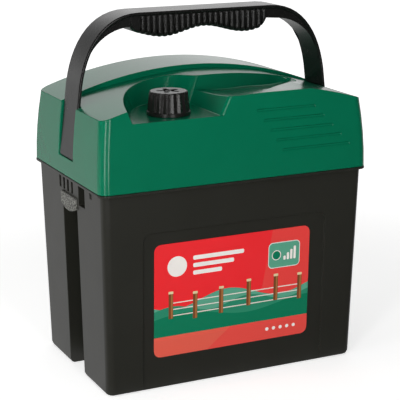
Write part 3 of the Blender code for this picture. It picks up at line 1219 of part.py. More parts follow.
def make_leads(red, black, rubber):
    terminal_top = COVER_TOP + GAP + TERMINAL_HEIGHT
    cap_low = COVER_TOP + 2 * GAP + TERMINAL_BASE_HEIGHT
    cap_top = terminal_top + GAP + CAP_ROOF
    lead_z = (cap_low + cap_top) / 2
    hole = TERMINAL_RADIUS + GAP
    grommet_low = TRAY_Z - GAP - GROMMET_FLANGE
    for name, side, material in (("red", -1, red), ("black", 1, black)):
        cap = turned([(0.0, terminal_top + GAP), (hole, terminal_top + GAP), (hole, cap_low),
                      (CAP_RADIUS, cap_low), (CAP_RADIUS, cap_top - 0.0015),
                      (CAP_RADIUS - 0.0015, cap_top), (0.0, cap_top)], 20)
        add_object("battery_clip_" + name, cap, material, (side * TERMINAL_X, TERMINAL_Y, 0.0))
        start = (side * (TERMINAL_X - CAP_RADIUS - GAP), TERMINAL_Y, lead_z)
        end = (side * LEAD_HALF_PITCH, 0.0, grommet_low - 0.003)
        route = bezier(start, (start[0] - side * 0.018, start[1], start[2]),
                       (end[0], end[1], end[2] - 0.014), end, LEAD_POINTS)
        route += [(end[0], end[1], TRAY_TOP), (end[0], end[1], BOARD_Z - GAP)]
        wire = bpy.data.curves.new("battery_lead_" + name, "CURVE")
        wire.dimensions = "3D"
        wire.bevel_depth = LEAD_RADIUS
        wire.bevel_resolution = 2
        wire.use_fill_caps = True
        path = wire.splines.new("POLY")
        path.points.add(len(route) - 1)
        for point, place in zip(path.points, route):
            point.co = (*place, 1.0)
        wire.materials.append(material)
        lead = bpy.data.objects.new("battery_lead_" + name, wire)
        bpy.context.scene.collection.objects.link(lead)

    profile = [(0.0, grommet_low), (GROMMET_RADIUS, grommet_low),
               (GROMMET_RADIUS, grommet_low + GROMMET_FLANGE),
               (GROMMET_NECK, grommet_low + GROMMET_FLANGE), (GROMMET_NECK, TRAY_TOP + 0.0005),
               (0.0, TRAY_TOP + 0.0005)]
    grommet = add_object("lead_grommet", turned(profile, 20), rubber)
    holes = bmesh.new()
    for side in (-1, 1):
        add_prism(holes, circle_outline(LEAD_RADIUS + GAP, 12, (side * LEAD_HALF_PITCH, 0.0)),
                  "Z", grommet_low - 0.001, TRAY_TOP + 0.002)
    boolean(grommet, add_object("grommet_holes", holes))


# ---------------------------------------------------------------- assembly
def main():
    clear_scene()
    black = make_material("black moulded polypropylene", (0.028, 0.027, 0.025), 0.42)
    green = make_material("green moulded ABS", (0.0, 0.125, 0.062), 0.30)
    label = make_material("printed film", (0.70, 0.025, 0.030), 0.35)
    grey = make_material("grey thumb rubber", (0.20, 0.20, 0.19), 0.80)
    handle_black = make_material("black handle nylon", (0.022, 0.022, 0.022), 0.45)
    knob_black = make_material("black knob", (0.020, 0.018, 0.016), 0.35)
    steel = make_material("zinc plated steel", (0.60, 0.60, 0.60), 0.30, 1.0)
    brass = make_material("brass", (0.62, 0.45, 0.18), 0.30, 1.0)
    dark = make_material("dark phenolic", (0.030, 0.025, 0.020), 0.55)
    rubber = make_material("rubber", (0.030, 0.030, 0.030), 0.85)
    tray = make_material("grey polypropylene", (0.22, 0.22, 0.21), 0.50)
    board = make_material("circuit board", (0.02, 0.16, 0.06), 0.40)
    iron = make_material("transformer iron", (0.20, 0.19, 0.18), 0.50, 1.0)
    red_wire = make_material("red insulation", (0.55, 0.02, 0.02), 0.45)
    black_wire = make_material("black insulation", (0.02, 0.02, 0.02), 0.45)
    battery_grey = make_material("battery case", (0.30, 0.30, 0.32), 0.60)
    colours = {"cream": make_material("film capacitor", (0.70, 0.62, 0.42), 0.40),
               "dark_blue": make_material("capacitor sleeve", (0.02, 0.04, 0.14), 0.35),
               "copper": make_material("enamelled copper", (0.50, 0.20, 0.08), 0.35, 1.0),
               "aluminium": make_material("aluminium", (0.70, 0.70, 0.70), 0.35, 1.0),
               "black": make_material("component resin", (0.02, 0.02, 0.02), 0.50)}

    make_battery_box(black)
    make_label(label)
    make_latch("left", -1, grey, steel)
    make_latch("right", 1, grey, steel)
    make_battery(battery_grey, dark, brass)
    make_lid(green)
    make_gasket(rubber)
    make_handle(handle_black)
    axle = add_empty("knob_axis", (KNOB_X, KNOB_Y, WELL_FLOOR))
    shaft_top = make_knob(knob_black, axle)
    make_switch(brass, dark, steel, axle, shaft_top)
    make_tray(tray)
    make_tray_screws(steel)
    make_board(board, steel)
    make_transformer(iron, dark, colours["copper"])
    make_board_parts(colours)
    make_outputs(brass)
    make_leads(red_wire, black_wire, rubber)


main()
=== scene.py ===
# Battery fence energizer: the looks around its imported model.
import json
import math

import bpy
from mathutils import Matrix, Vector


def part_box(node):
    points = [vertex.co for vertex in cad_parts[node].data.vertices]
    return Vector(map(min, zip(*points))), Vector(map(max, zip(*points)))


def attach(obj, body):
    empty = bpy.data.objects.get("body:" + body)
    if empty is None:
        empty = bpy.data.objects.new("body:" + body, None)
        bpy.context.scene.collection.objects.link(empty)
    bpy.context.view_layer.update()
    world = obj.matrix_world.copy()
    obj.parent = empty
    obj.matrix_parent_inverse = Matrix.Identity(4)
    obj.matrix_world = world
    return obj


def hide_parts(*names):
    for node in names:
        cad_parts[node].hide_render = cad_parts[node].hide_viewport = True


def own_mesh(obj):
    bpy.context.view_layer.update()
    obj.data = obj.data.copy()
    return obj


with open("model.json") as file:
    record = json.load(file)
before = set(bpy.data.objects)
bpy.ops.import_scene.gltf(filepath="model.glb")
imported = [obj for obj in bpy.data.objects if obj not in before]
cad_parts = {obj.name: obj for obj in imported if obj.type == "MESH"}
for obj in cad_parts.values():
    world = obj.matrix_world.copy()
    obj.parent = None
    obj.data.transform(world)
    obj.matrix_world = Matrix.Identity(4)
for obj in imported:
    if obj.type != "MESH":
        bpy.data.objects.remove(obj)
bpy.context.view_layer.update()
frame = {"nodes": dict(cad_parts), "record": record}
nodes = frame["nodes"]
slotOf = {part["node"]: part["material_slot"] for part in frame["record"]["subparts"]}
bodyOf = {node: body for body, members in frame["record"]["behaviour"]["bodies"].items()
          for node in members}
mm = 0.001
print("frame loaded:", len(nodes), "nodes")


# camera

viewpoint = {
    "aim": Vector((0.0, 0.0, 0.130)),
    "aside": 0.0017,            # metres from the aim to the camera: across, up and back
    "above": 0.0188,
    "away": 1.2962,
    "turn": -25.5245,           # degrees round the object, to the left
    "rise": 14.7464,            # degrees above the horizon
    "roll": -0.07,
    "lens": 122.77,             # mm
    "sensor": 36.0,             # mm
}


def placeCamera(look):
    turn = math.radians(look["turn"])
    rise = math.radians(look["rise"])
    back = Vector((math.sin(turn) * math.cos(rise), -math.cos(turn) * math.cos(rise),
                   math.sin(rise)))
    right = Vector((math.cos(turn), math.sin(turn), 0.0))
    axes = Matrix((right, back.cross(right), back)).transposed()
    axes = axes @ Matrix.Rotation(math.radians(look["roll"]), 3, "Z")
    data = bpy.data.cameras.new("camera")
    data.lens = look["lens"]
    data.sensor_width = look["sensor"]
    camera = bpy.data.objects.new("camera", data)
    bpy.context.scene.collection.objects.link(camera)
    spot = look["aim"] + axes @ Vector((look["aside"], look["above"], look["away"]))
    camera.matrix_world = Matrix.Translation(spot) @ axes.to_4x4()
    bpy.context.scene.camera = camera


placeCamera(viewpoint)
bpy.context.scene.view_settings.view_transform = "Standard"
print("camera placed")


# materials

def linear(hexColour):
    # sRGB hex to the linear colour that a shader takes
    channels = []
    for start in (1, 3, 5):
        value = int(hexColour[start:start + 2], 16) / 255
        channels.append(value / 12.92 if value <= 0.04045 else ((value + 0.055) / 1.055) ** 2.4)
    return (*channels, 1.0)


def addNode(tree, kind, settings=None, links=None):
    # one node; a setting is one of its properties, or an input by name or number
    node = tree.nodes.new(kind)
    for key, value in (settings or {}).items():
        if isinstance(key, str) and hasattr(node, key):
            setattr(node, key, value)
        else:
            node.inputs[key].default_value = value
    for key, source in (links or {}).items():
        tree.links.new(source, node.inputs[key])
    return node


def startFinish(name, settings):
    # an empty material with its shader, its output and the object's own coordinates
    material = bpy.data.materials.new(name)
    material.use_nodes = True
    tree = material.node_tree
    tree.nodes.clear()
    place = addNode(tree, "ShaderNodeTexCoord").outputs["Object"]
    shader = addNode(tree, "ShaderNodeBsdfPrincipled", settings)
    addNode(tree, "ShaderNodeOutputMaterial", links={"Surface": shader.outputs[0]})
    return material, tree, place, shader


def coverShader(tree, shader, colour, relief, depth, gloss=None):
    # the colour, a relief of so many mm and, where it varies, the roughness
    bump = addNode(tree, "ShaderNodeBump", {"Strength": 1.0, "Distance": depth * mm},
                   {"Height": relief})
    tree.links.new(colour, shader.inputs["Base Color"])
    tree.links.new(bump.outputs[0], shader.inputs["Normal"])
    if gloss is not None:
        tree.links.new(gloss, shader.inputs["Roughness"])


def mouldedPlastic(name, look):
    # injection moulded: a spark-eroded grain from the tool, and slow waves of gloss where the melt
    # flowed and sank, give a soft sheen that is never quite even
    material, tree, place, shader = startFinish(name, {"IOR": look["ior"]})
    flow = addNode(tree, "ShaderNodeTexNoise",
                   {"Scale": 1 / (look["flow"] * mm), "Detail": 3.0, "Roughness": 0.6},
                   {"Vector": place})
    grain = addNode(tree, "ShaderNodeTexNoise",
                    {"Scale": 1 / (look["grain"] * mm), "Detail": 2.0, "Roughness": 0.7},
                    {"Vector": place})
    spread = look.get("spread", 0.5)
    blend = addNode(tree, "ShaderNodeMapRange",
                    {"From Min": 0.5 - spread, "From Max": 0.5 + spread},
                    {"Value": flow.outputs[0]})
    colour = addNode(tree, "ShaderNodeMix",
                     {"data_type": "RGBA", 6: linear(look["colour"]), 7: linear(look["pale"])},
                     {0: blend.outputs[0]})
    shift = look["glossShift"]
    gloss = addNode(tree, "ShaderNodeMath",
                    {"operation": "MULTIPLY_ADD", 1: shift, 2: look["roughness"] - shift / 2},
                    {0: flow.outputs[0]})
    coverShader(tree, shader, colour.outputs[2], grain.outputs[0], look["depth"],
                gloss.outputs[0])
    return material


def workedMetal(name, look):
    # metal: the tool's or the die's fine lines all run one way, with a little tarnish between them
    material, tree, place, shader = startFinish(name, {"Metallic": 1.0})
    stretch = addNode(tree, "ShaderNodeMapping", {"Scale": look["stretch"]}, {"Vector": place})
    lines = addNode(tree, "ShaderNodeTexNoise",
                    {"Scale": 1 / (look["line"] * mm), "Detail": 2.0},
                    {"Vector": stretch.outputs[0]})
    tarnish = addNode(tree, "ShaderNodeTexNoise",
                      {"Scale": 1 / (look["patch"] * mm), "Detail": 4.0, "Roughness": 0.65},
                      {"Vector": place})
    colour = addNode(tree, "ShaderNodeMix",
                     {"data_type": "RGBA", 6: linear(look["colour"]), 7: linear(look["tarnish"])},
                     {0: tarnish.outputs[0]})
    shift = look["glossShift"]
    gloss = addNode(tree, "ShaderNodeMath",
                    {"operation": "MULTIPLY_ADD", 1: shift, 2: look["roughness"] - shift / 2},
                    {0: tarnish.outputs[0]})
    coverShader(tree, shader, colour.outputs[2], lines.outputs[0], look["depth"],
                gloss.outputs[0])
    return material


def layeredStock(name, look):
    # wound wire or stacked sheet: even rounded ridges at the pitch of one turn or one sheet, with
    # painted shade darkening the grooves between them
    material, tree, place, shader = startFinish(name, {"Metallic": look["metallic"]})
    bandAtOne = 0.314           # width of a band where the pattern's scale is 1
    ridges = addNode(tree, "ShaderNodeTexWave",
                     {"wave_type": "BANDS", "bands_direction": look["across"],
                      "wave_profile": "SIN", "Scale": bandAtOne / (look["pitch"] * mm),
                      "Distortion": look["wander"], "Detail": 2.0, "Detail Scale": 2.0},
                     {"Vector": place})
    height = ridges.outputs["Fac"]
    # painted shade: the colour goes from the ridges' own colour to a darker one down in the grooves
    colour = addNode(tree, "ShaderNodeMix",
                     {"data_type": "RGBA", 6: linear(look["groove"]), 7: linear(look["colour"])},
                     {0: height})
    matt, sheen = look["grooveRoughness"], look["ridgeRoughness"]
    gloss = addNode(tree, "ShaderNodeMath",
                    {"operation": "MULTIPLY_ADD", 1: sheen - matt, 2: matt}, {0: height})
    coverShader(tree, shader, colour.outputs[2], height, look["depth"], gloss.outputs[0])
    return material


# moulded stock, sizes in mm: the grain is drawn coarser than the real 0.2 mm, so that it shows, and
# a small spread parts the two colours into patches
plastics = {
    "green_plastic": ("green ABS, fine eroded grain", {
        "colour": "#00694A", "pale": "#007050", "ior": 1.50, "roughness": 0.19, "glossShift": 0.06,
        "flow": 45.0, "grain": 0.9, "depth": 0.005}),
    "black_plastic": ("black polypropylene, eroded grain", {
        "colour": "#262621", "pale": "#2B2B26", "ior": 1.49, "roughness": 0.34, "glossShift": 0.10,
        "flow": 50.0, "grain": 0.9, "depth": 0.012}),
    "black_nylon": ("black glass-filled nylon, satin", {
        "colour": "#121211", "pale": "#191918", "ior": 1.57, "roughness": 0.26, "glossShift": 0.10,
        "flow": 18.0, "grain": 0.7, "depth": 0.008}),
    "knob_plastic": ("black ABS, near gloss", {
        "colour": "#171615", "pale": "#1F1D1C", "ior": 1.54, "roughness": 0.27, "glossShift": 0.08,
        "flow": 12.0, "grain": 0.6, "depth": 0.004}),
    "grey_rubber": ("grey thermoplastic rubber, pebbled", {
        "colour": "#222220", "pale": "#8E8E88", "ior": 1.50, "roughness": 0.62, "glossShift": 0.10,
        "flow": 1.5, "spread": 0.12, "grain": 1.1, "depth": 0.22}),
    "dark_plastic": ("black moulding compound", {
        "colour": "#1B1B1C", "pale": "#262627", "ior": 1.52, "roughness": 0.48, "glossShift": 0.10,
        "flow": 10.0, "grain": 0.6, "depth": 0.012}),
    "grey_plastic": ("grey ABS tray, eroded grain", {
        "colour": "#7C7D7B", "pale": "#888986", "ior": 1.50, "roughness": 0.45, "glossShift": 0.10,
        "flow": 35.0, "grain": 0.9, "depth": 0.012}),
    "battery_grey": ("pale grey polypropylene case", {
        "colour": "#8C8E93", "pale": "#9A9CA0", "ior": 1.49, "roughness": 0.40, "glossShift": 0.12,
        "flow": 40.0, "grain": 1.2, "depth": 0.012}),
    "cream_plastic": ("cream film capacitor case", {
        "colour": "#D9CDA8", "pale": "#E2D9BC", "ior": 1.50, "roughness": 0.32, "glossShift": 0.08,
        "flow": 12.0, "grain": 0.8, "depth": 0.008}),
    "blue_sleeve": ("blue shrink sleeve, glossy", {
        "colour": "#1B2F6B", "pale": "#24408A", "ior": 1.52, "roughness": 0.24, "glossShift": 0.08,
        "flow": 8.0, "grain": 1.5, "depth": 0.020}),
    "red_plastic": ("red PVC insulation", {
        "colour": "#B5181C", "pale": "#C9262A", "ior": 1.53, "roughness": 0.36, "glossShift": 0.10,
        "flow": 9.0, "grain": 0.9, "depth": 0.015}),
    "rubber": ("black EPDM rubber, dull bloom", {
        "colour": "#1F1F1F", "pale": "#343433", "ior": 1.50, "roughness": 0.70, "glossShift": 0.12,
        "flow": 6.0, "grain": 0.5, "depth": 0.020}),
}
# metals, sizes in mm: the lines lie across the axes that have the larger stretch
metals = {
    "steel": ("zinc-plated steel", {
        "colour": "#B9BCC0", "tarnish": "#9C9FA3", "roughness": 0.34, "glossShift": 0.20,
        "stretch": (1.0, 1.0, 6.0), "line": 0.8, "patch": 3.0, "depth": 0.004}),
    "brass": ("turned brass", {
        "colour": "#C9A24E", "tarnish": "#A9853C", "roughness": 0.30, "glossShift": 0.20,
        "stretch": (1.0, 1.0, 8.0), "line": 0.9, "patch": 4.0, "depth": 0.004}),
    "aluminium": ("extruded aluminium", {
        "colour": "#C5C7C9", "tarnish": "#AEB0B3", "roughness": 0.36, "glossShift": 0.20,
        "stretch": (8.0, 8.0, 1.0), "line": 0.8, "patch": 6.0, "depth": 0.006}),
}
# wound wire and stacked sheet, sizes in mm; the groove colour is painted shade
layered = {
    "copper": ("enamelled copper winding wire", {
        "colour": "#B4632C", "groove": "#4A2412", "metallic": 0.8,
        "ridgeRoughness": 0.25, "grooveRoughness": 0.40,
        "across": "Z", "pitch": 0.8, "wander": 0.4, "depth": 0.25}),
    "iron": ("varnished iron laminations", {
        "colour": "#4B4844", "groove": "#2B2926", "metallic": 0.4,
        "ridgeRoughness": 0.40, "grooveRoughness": 0.55,
        "across": "Y", "pitch": 0.5, "wander": 0.2, "depth": 0.05}),
}


# board: copper tracks under the lacquer, sizes in mm; a copper track is 0.035 mm thick
boardResist = {
    "lacquer": ("#0E5A35", "#126A3F"), "track": "#1F8A55", "ior": 1.52, "roughness": 0.28,
    "trackLong": 14.0, "trackPitch": 2.6, "trackWide": 0.35, "trackTall": 0.035,
    "stagger": 0.37, "shorten": 0.6, "shortenEvery": 3}


def solderResist(name, look):
    # fibreglass board under green lacquer: raised tracks show as paler glossy lanes
    material, tree, place, shader = startFinish(
        name, {"IOR": look["ior"], "Roughness": look["roughness"]})
    lanes = addNode(tree, "ShaderNodeTexBrick",
                    {"offset": look["stagger"], "squash": look["shorten"],
                     "squash_frequency": look["shortenEvery"], "Scale": 1.0,
                     "Brick Width": look["trackLong"] * mm, "Row Height": look["trackPitch"] * mm,
                     "Mortar Size": look["trackWide"] * mm, "Color1": linear(look["lacquer"][0]),
                     "Color2": linear(look["lacquer"][1]), "Mortar": linear(look["track"])},
                    {"Vector": place})
    coverShader(tree, shader, lanes.outputs["Color"], lanes.outputs["Fac"], look["trackTall"])
    return material


# label: a plain printed scene of hills and a wire fence, all sizes in mm from its middle
labelPrint = {
    "ground": ("#F0282E", "#F43036"),
    "mottle": 22.0,
    "peel": 0.03,
    "ior": 1.50,
    "roughness": 0.20,
    "wedges": [                 # ink, then a point and the way in for each edge
        ("#EC4541", (4, 8), (0.55, 1.0), (30, 0), (1.0, -0.18)),
        ("#E7604F", (0, -34), (0.0, -1.0), (-22, -50), (-0.8, 1.0)),
        ("#EA4F47", (0, -34), (0.0, -1.0), (-22, -50), (0.8, -1.0))],
    "hills": [                  # ink, middle height, swell, length of a wave, shift, foot
        ("#5BA58A", -3.0, 6.5, 108.0, 1.9, -34.0),
        ("#2C8A6B", -10.0, 4.0, 76.0, 0.3, -34.0),
        ("#0E7A58", -18.0, 4.5, 128.0, 4.0, -34.0)],
    "blots": [                  # ink, middle, half size, corner, ring width (0 is filled)
        ("#F4EFEA", (-56, 31), (0, 0), 9.5, 0.0),
        ("#F4EFEA", (-15, 37), (24, 0.6), 1.4, 0.0),
        ("#F4EFEA", (-20, 30), (19, 0.6), 1.4, 0.0),
        ("#F4EFEA", (-26, 23), (13, 0.6), 1.4, 0.0),
        ("#5BA58A", (52, 28), (12, 8), 4.0, 0.0),
        ("#DDEBE4", (52, 28), (12, 8), 4.0, 0.7),
        ("#0E7A58", (44, 28), (0, 0), 4.4, 0.0),
        ("#F4EFEA", (44, 28), (0, 0), 4.4, 0.7),
        ("#F4EFEA", (52.5, 24.6), (0.2, 1.0), 1.0, 0.0),
        ("#F4EFEA", (56.0, 26.0), (0.2, 2.4), 1.0, 0.0),
        ("#F4EFEA", (59.5, 27.4), (0.2, 3.8), 1.0, 0.0),
        ("#F4EFEA", (63.0, 28.8), (0.2, 5.2), 1.0, 0.0)],
    "rows": [                   # places, then for each mark: ink, shift, half size, corner
        ([(3.5, -15.0), (3.5, -9.0), (3.5, -3.0)],
         [("#E9E4DA", (0.0, 0.0), (66, 0), 0.45)]),
        ([(-62, -17), (-38, -20), (-12, -19), (16, -16), (44, -15), (69, -17)],
         [("#7B4A2B", (0.0, 12.0), (1.6, 12.0), 0.6),
          ("#A8703F", (0.9, 12.0), (0.4, 12.0), 0.4),
          ("#E3CFA2", (0.0, 24.0), (1.7, 0.5), 0.7)]),
        ([(x, -43.0) for x in (36, 43, 50, 57, 64)],
         [("#F4EFEA", (0.0, 0.0), (0, 0), 1.7)])],
}


def printedFilm(name, look):
    # screen-printed polyester film under a clear gloss coat, with a faint orange peel
    material, tree, place, shader = startFinish(
        name, {"IOR": look["ior"], "Roughness": look["roughness"]})
    low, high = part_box("front_label")
    middle = (low + high) / 2
    flat = addNode(tree, "ShaderNodeMapping",
                   {"Location": (-middle.x / mm, 0.0, -middle.z / mm),
                    "Scale": (1 / mm, 0.0, 1 / mm)},
                   {"Vector": place}).outputs[0]
    across = addNode(tree, "ShaderNodeSeparateXYZ", links={0: flat})
    speckle = addNode(tree, "ShaderNodeTexNoise",
                      {"Scale": 1 / (look["mottle"] * mm), "Detail": 3.0}, {"Vector": place})

    def printOver(under, ink, mask, alsoMask=None):
        # ink where the mask, or both masks, are one
        if alsoMask is not None:
            mask = addNode(tree, "ShaderNodeMath", {"operation": "MULTIPLY"},
                           {0: mask, 1: alsoMask}).outputs[0]
        return addNode(tree, "ShaderNodeMix", {"data_type": "RGBA", 7: linear(ink)},
                       {0: mask, 6: under}).outputs[2]

    def beyond(point, way):
        # one on the side of a line that its way points to
        along = addNode(tree, "ShaderNodeVectorMath",
                        {"operation": "DOT_PRODUCT", 1: (way[0], 0.0, way[1])}, {0: flat})
        return addNode(tree, "ShaderNodeMath",
                       {"operation": "GREATER_THAN", 1: point[0] * way[0] + point[1] * way[1]},
                       {0: along.outputs["Value"]}).outputs[0]

    def blot(middle, half, corner, ring):
        # one inside a rounded box, or on its rim
        steps = [("SUBTRACT", (middle[0], 0.0, middle[1])), ("ABSOLUTE", None),
                 ("SUBTRACT", (half[0], 0.0, half[1])), ("MAXIMUM", (0.0, 0.0, 0.0)),
                 ("LENGTH", None)]
        source = flat
        for operation, value in steps:
            settings = {"operation": operation}
            if value:
                settings[1] = value
            step = addNode(tree, "ShaderNodeVectorMath", settings, {0: source})
            source = step.outputs["Value"] if operation == "LENGTH" else step.outputs[0]
        if ring:
            return addNode(tree, "ShaderNodeMath",
                           {"operation": "COMPARE", 1: corner, 2: ring / 2}, {0: source}).outputs[0]
        return addNode(tree, "ShaderNodeMath", {"operation": "LESS_THAN", 1: corner},
                       {0: source}).outputs[0]

    ground, mottled = look["ground"]
    colour = addNode(tree, "ShaderNodeMix",
                     {"data_type": "RGBA", 6: linear(ground), 7: linear(mottled)},
                     {0: speckle.outputs[0]}).outputs[2]
    for ink, pointA, wayA, pointB, wayB in look["wedges"]:
        colour = printOver(colour, ink, beyond(pointA, wayA), beyond(pointB, wayB))
    for ink, height, swell, wave, shift, foot in look["hills"]:
        phase = addNode(tree, "ShaderNodeMath",
                        {"operation": "MULTIPLY_ADD", 1: 2 * math.pi / wave, 2: shift},
                        {0: across.outputs["X"]})
        rise = addNode(tree, "ShaderNodeMath", {"operation": "SINE"}, {0: phase.outputs[0]})
        crest = addNode(tree, "ShaderNodeMath",
                        {"operation": "MULTIPLY_ADD", 1: swell, 2: height}, {0: rise.outputs[0]})
        under = addNode(tree, "ShaderNodeMath", {"operation": "LESS_THAN"},
                        {0: across.outputs["Z"], 1: crest.outputs[0]})
        colour = printOver(colour, ink, under.outputs[0], beyond((0, foot), (0.0, 1.0)))
    for spots, marks in look["rows"]:
        for x, z in spots:
            for ink, (aside, above), half, corner in marks:
                mark = blot((x + aside, z + above), half, corner, 0.0)
                colour = printOver(colour, ink, mark)
    for ink, middle, half, corner, ring in look["blots"]:
        colour = printOver(colour, ink, blot(middle, half, corner, ring))
    coverShader(tree, shader, colour, speckle.outputs[0], look["peel"])
    return material


finishes = {slot: mouldedPlastic(name, look) for slot, (name, look) in plastics.items()}
finishes.update({slot: workedMetal(name, look) for slot, (name, look) in metals.items()})
finishes.update({slot: layeredStock(name, look) for slot, (name, look) in layered.items()})
finishes["board_green"] = solderResist("green solder resist on fibreglass", boardResist)
finishes["label_film"] = printedFilm("printed polyester film", labelPrint)
print("materials made:", len(finishes))


# pieces

def wearing(piece, node):
    # the node's finish and place, on its body
    piece.data.materials.clear()
    piece.data.materials.append(finishes[slotOf[node]])
    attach(piece, bodyOf[node])
    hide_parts(node)


def joinVertices(look):
    # the active piece's vertices that lie on each other become one
    bpy.ops.object.mode_set(mode="EDIT")
    bpy.ops.mesh.select_all(action="SELECT")
    bpy.ops.mesh.remove_doubles(threshold=look["join"] * mm)
    bpy.ops.object.mode_set(mode="OBJECT")


def joinedCopy(node, name, look):
    # a copy of a node's mesh with its loose triangles joined into whole faces
    bpy.ops.object.select_all(action="DESELECT")
    piece = bpy.data.objects.new(name, nodes[node].data.copy())
    bpy.context.scene.collection.objects.link(piece)
    bpy.context.view_layer.objects.active = piece
    piece.select_set(True)
    bpy.ops.mesh.customdata_custom_splitnormals_clear()
    joinVertices(look)
    bpy.ops.object.mode_set(mode="EDIT")
    bpy.ops.mesh.dissolve_limited(angle_limit=math.radians(look["flat"]))
    bpy.ops.object.mode_set(mode="OBJECT")
    return piece


def softenEdges(piece, look):
    # smooth shading up to the sharp edges, then small even rounds on them; broad faces keep their
    # own direction, so the rounds carry the whole turn
    bpy.ops.object.shade_smooth_by_angle(angle=math.radians(look["smooth"]))
    if look["round"]:
        bevel = piece.modifiers.new("edge round", "BEVEL")
        bevel.width = look["round"] * mm
        bevel.segments = look["steps"]
        bevel.limit_method = "ANGLE"
        bevel.angle_limit = math.radians(look["sharp"])
        bevel.use_clamp_overlap = look.get("clamp", True)
        bpy.ops.object.modifier_apply(modifier=bevel.name)
    weigh = piece.modifiers.new("face directions", "WEIGHTED_NORMAL")
    weigh.mode = "FACE_AREA"
    weigh.weight = 60           # over 50, so broad faces count for more than their area
    weigh.keep_sharp = True
    bpy.ops.object.modifier_apply(modifier=weigh.name)


# copies of the CAD pieces: join and round in mm, flat, sharp and smooth in degrees
plainRound = {"join": 0.02, "flat": 0.5, "round": 0.35, "steps": 2, "sharp": 35, "smooth": 32}
smoothOnly = {"join": 0.02, "flat": 0.2, "round": 0.0, "smooth": 40}
outerPieces = {
    "lid": ("lid_shell", dict(plainRound, round=0.42, join=0.06, clamp=False)),
    "battery_box": ("box_shell", dict(plainRound, round=0.4, clamp=False)),
    "handle": ("bow_handle", dict(plainRound, round=0.3, clamp=False)),
    "switch_knob": ("knob_cap", dict(plainRound, round=0.3)),
    "latch_button_left": ("latch_pad_left", dict(plainRound, round=0.25, smooth=22)),
    "latch_button_right": ("latch_pad_right", dict(plainRound, round=0.25, smooth=22)),
    "front_label": ("label_print", smoothOnly),
}
innerPieces = {
    "battery_case": ("battery_body", dict(plainRound, round=0.8)),
    "battery_cover": ("battery_lid", dict(plainRound, round=0.6)),
    "battery_terminal_positive": ("terminal_positive", dict(plainRound, round=0.25)),
    "battery_terminal_negative": ("terminal_negative", dict(plainRound, round=0.25)),
    "battery_clip_red": ("snap_clip_red", dict(plainRound, round=0.4)),
    "battery_clip_black": ("snap_clip_black", dict(plainRound, round=0.4)),
    "battery_lead_red": ("lead_wire_red", smoothOnly),
    "battery_lead_black": ("lead_wire_black", smoothOnly),
    "lead_grommet": ("grommet_ring", dict(plainRound, round=0.3)),
    "lid_gasket": ("gasket_ring", dict(plainRound, round=0.4)),
    "electronics_tray": ("tray_plate", dict(plainRound, round=0.35)),
    "fence_stud": ("stud_fence", dict(plainRound, round=0.2)),
    "fence_nut": ("nut_fence", dict(plainRound, round=0.25)),
    "earth_stud": ("stud_earth", dict(plainRound, round=0.2)),
    "earth_nut": ("nut_earth", dict(plainRound, round=0.25)),
    "latch_spring_left": ("coil_left", smoothOnly),
    "latch_spring_right": ("coil_right", smoothOnly),
    "transformer_bobbin": ("bobbin_frame", dict(plainRound, round=0.3)),
    "storage_capacitor": ("capacitor_storage", dict(plainRound, round=0.6)),
    "supply_capacitor": ("capacitor_supply", dict(plainRound, round=0.5)),
    "circuit_board": ("board_sheet", dict(plainRound, round=0.15)),
}

# small changes of form on some copies; places and moves in mm
pocketRear = {"y": 18.0, "near": 0.05, "inside": 120.0, "direction": "Y", "move": -0.75}


def onPocketRear(spot, look):
    # the rear walls of the handle's pockets, which lie close to the legs
    return float(abs(spot.y - look["y"]) < look["near"] and abs(spot.x) > look["inside"])


riserFoot = {"y": 18.2, "near": 0.3, "crown": 270.2, "fall": 1.19e-3, "band": 2.5,
             "left": (-60.0, 0.0), "right": (108.0, 75.0), "direction": "Z", "move": 2.4}


def onRiserFoot(spot, look):
    # the rear edge of the front arch, fading out towards both ends
    level = look["crown"] - look["fall"] * spot.x * spot.x
    if abs(spot.y - look["y"]) > look["near"] or abs(spot.z - level) > look["band"]:
        return 0.0
    shares = [(spot.x - none) / (full - none) for none, full in (look["left"], look["right"])]
    return min(1.0, max(0.0, min(shares)))


gripCore = {"left": -64.3, "right": 63.3, "floor": 300.0, "top": 328.0,
            "direction": "NORMAL", "move": -1.6}


def onGripCore(spot, look):
    # the sides and underside of the grip, which draw in between the pads
    within = look["left"] < spot.x < look["right"] and look["floor"] < spot.z < look["top"]
    return float(within)


leftFoot = {"side": -1, "inside": 115.0, "full": 215.0, "none": 262.0,
            "direction": "X", "move": -1.1}
rightFoot = dict(leftFoot, side=1, move=1.1)


def onLegFoot(spot, look):
    # the feet of the handle's legs, which lie nearly flush with the lid's sides
    if spot.x * look["side"] < look["inside"]:
        return 0.0
    return min(1.0, max(0.0, (look["none"] - spot.z) / (look["none"] - look["full"])))


def pushVertices(piece, shareAt, look):
    # moves each vertex by its share of the change
    group = piece.vertex_groups.new(name="pushed")
    for vertex in piece.data.vertices:
        group.add([vertex.index], shareAt(vertex.co / mm, look), "REPLACE")
    push = piece.modifiers.new("push", "DISPLACE")
    push.direction = look["direction"]
    push.mid_level = 0.0
    push.strength = look["move"] * mm
    push.vertex_group = group.name
    bpy.ops.object.modifier_apply(modifier=push.name)


latchSprings = {                # the joint, and the side of the end that stays in the case
    "latch_spring_left": ("latch_left_press", "right"),
    "latch_spring_right": ("latch_right_press", "left"),
}


def squashSpring(piece, node, joint, fixedEnd):
    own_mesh(piece)


reshaped = {
    "lid": [(onPocketRear, pocketRear), (onRiserFoot, riserFoot)],
    "handle": [(onGripCore, gripCore), (onLegFoot, leftFoot), (onLegFoot, rightFoot)],
}
for node, (name, look) in {**outerPieces, **innerPieces}.items():
    piece = joinedCopy(node, name, look)
    for shareAt, change in reshaped.get(node, []):
        pushVertices(piece, shareAt, change)
        joinVertices(look)
    softenEdges(piece, look)
    wearing(piece, node)
    if node in latchSprings:
        squashSpring(piece, node, *latchSprings[node])
    print(name, "ready:", len(piece.data.polygons), "faces")


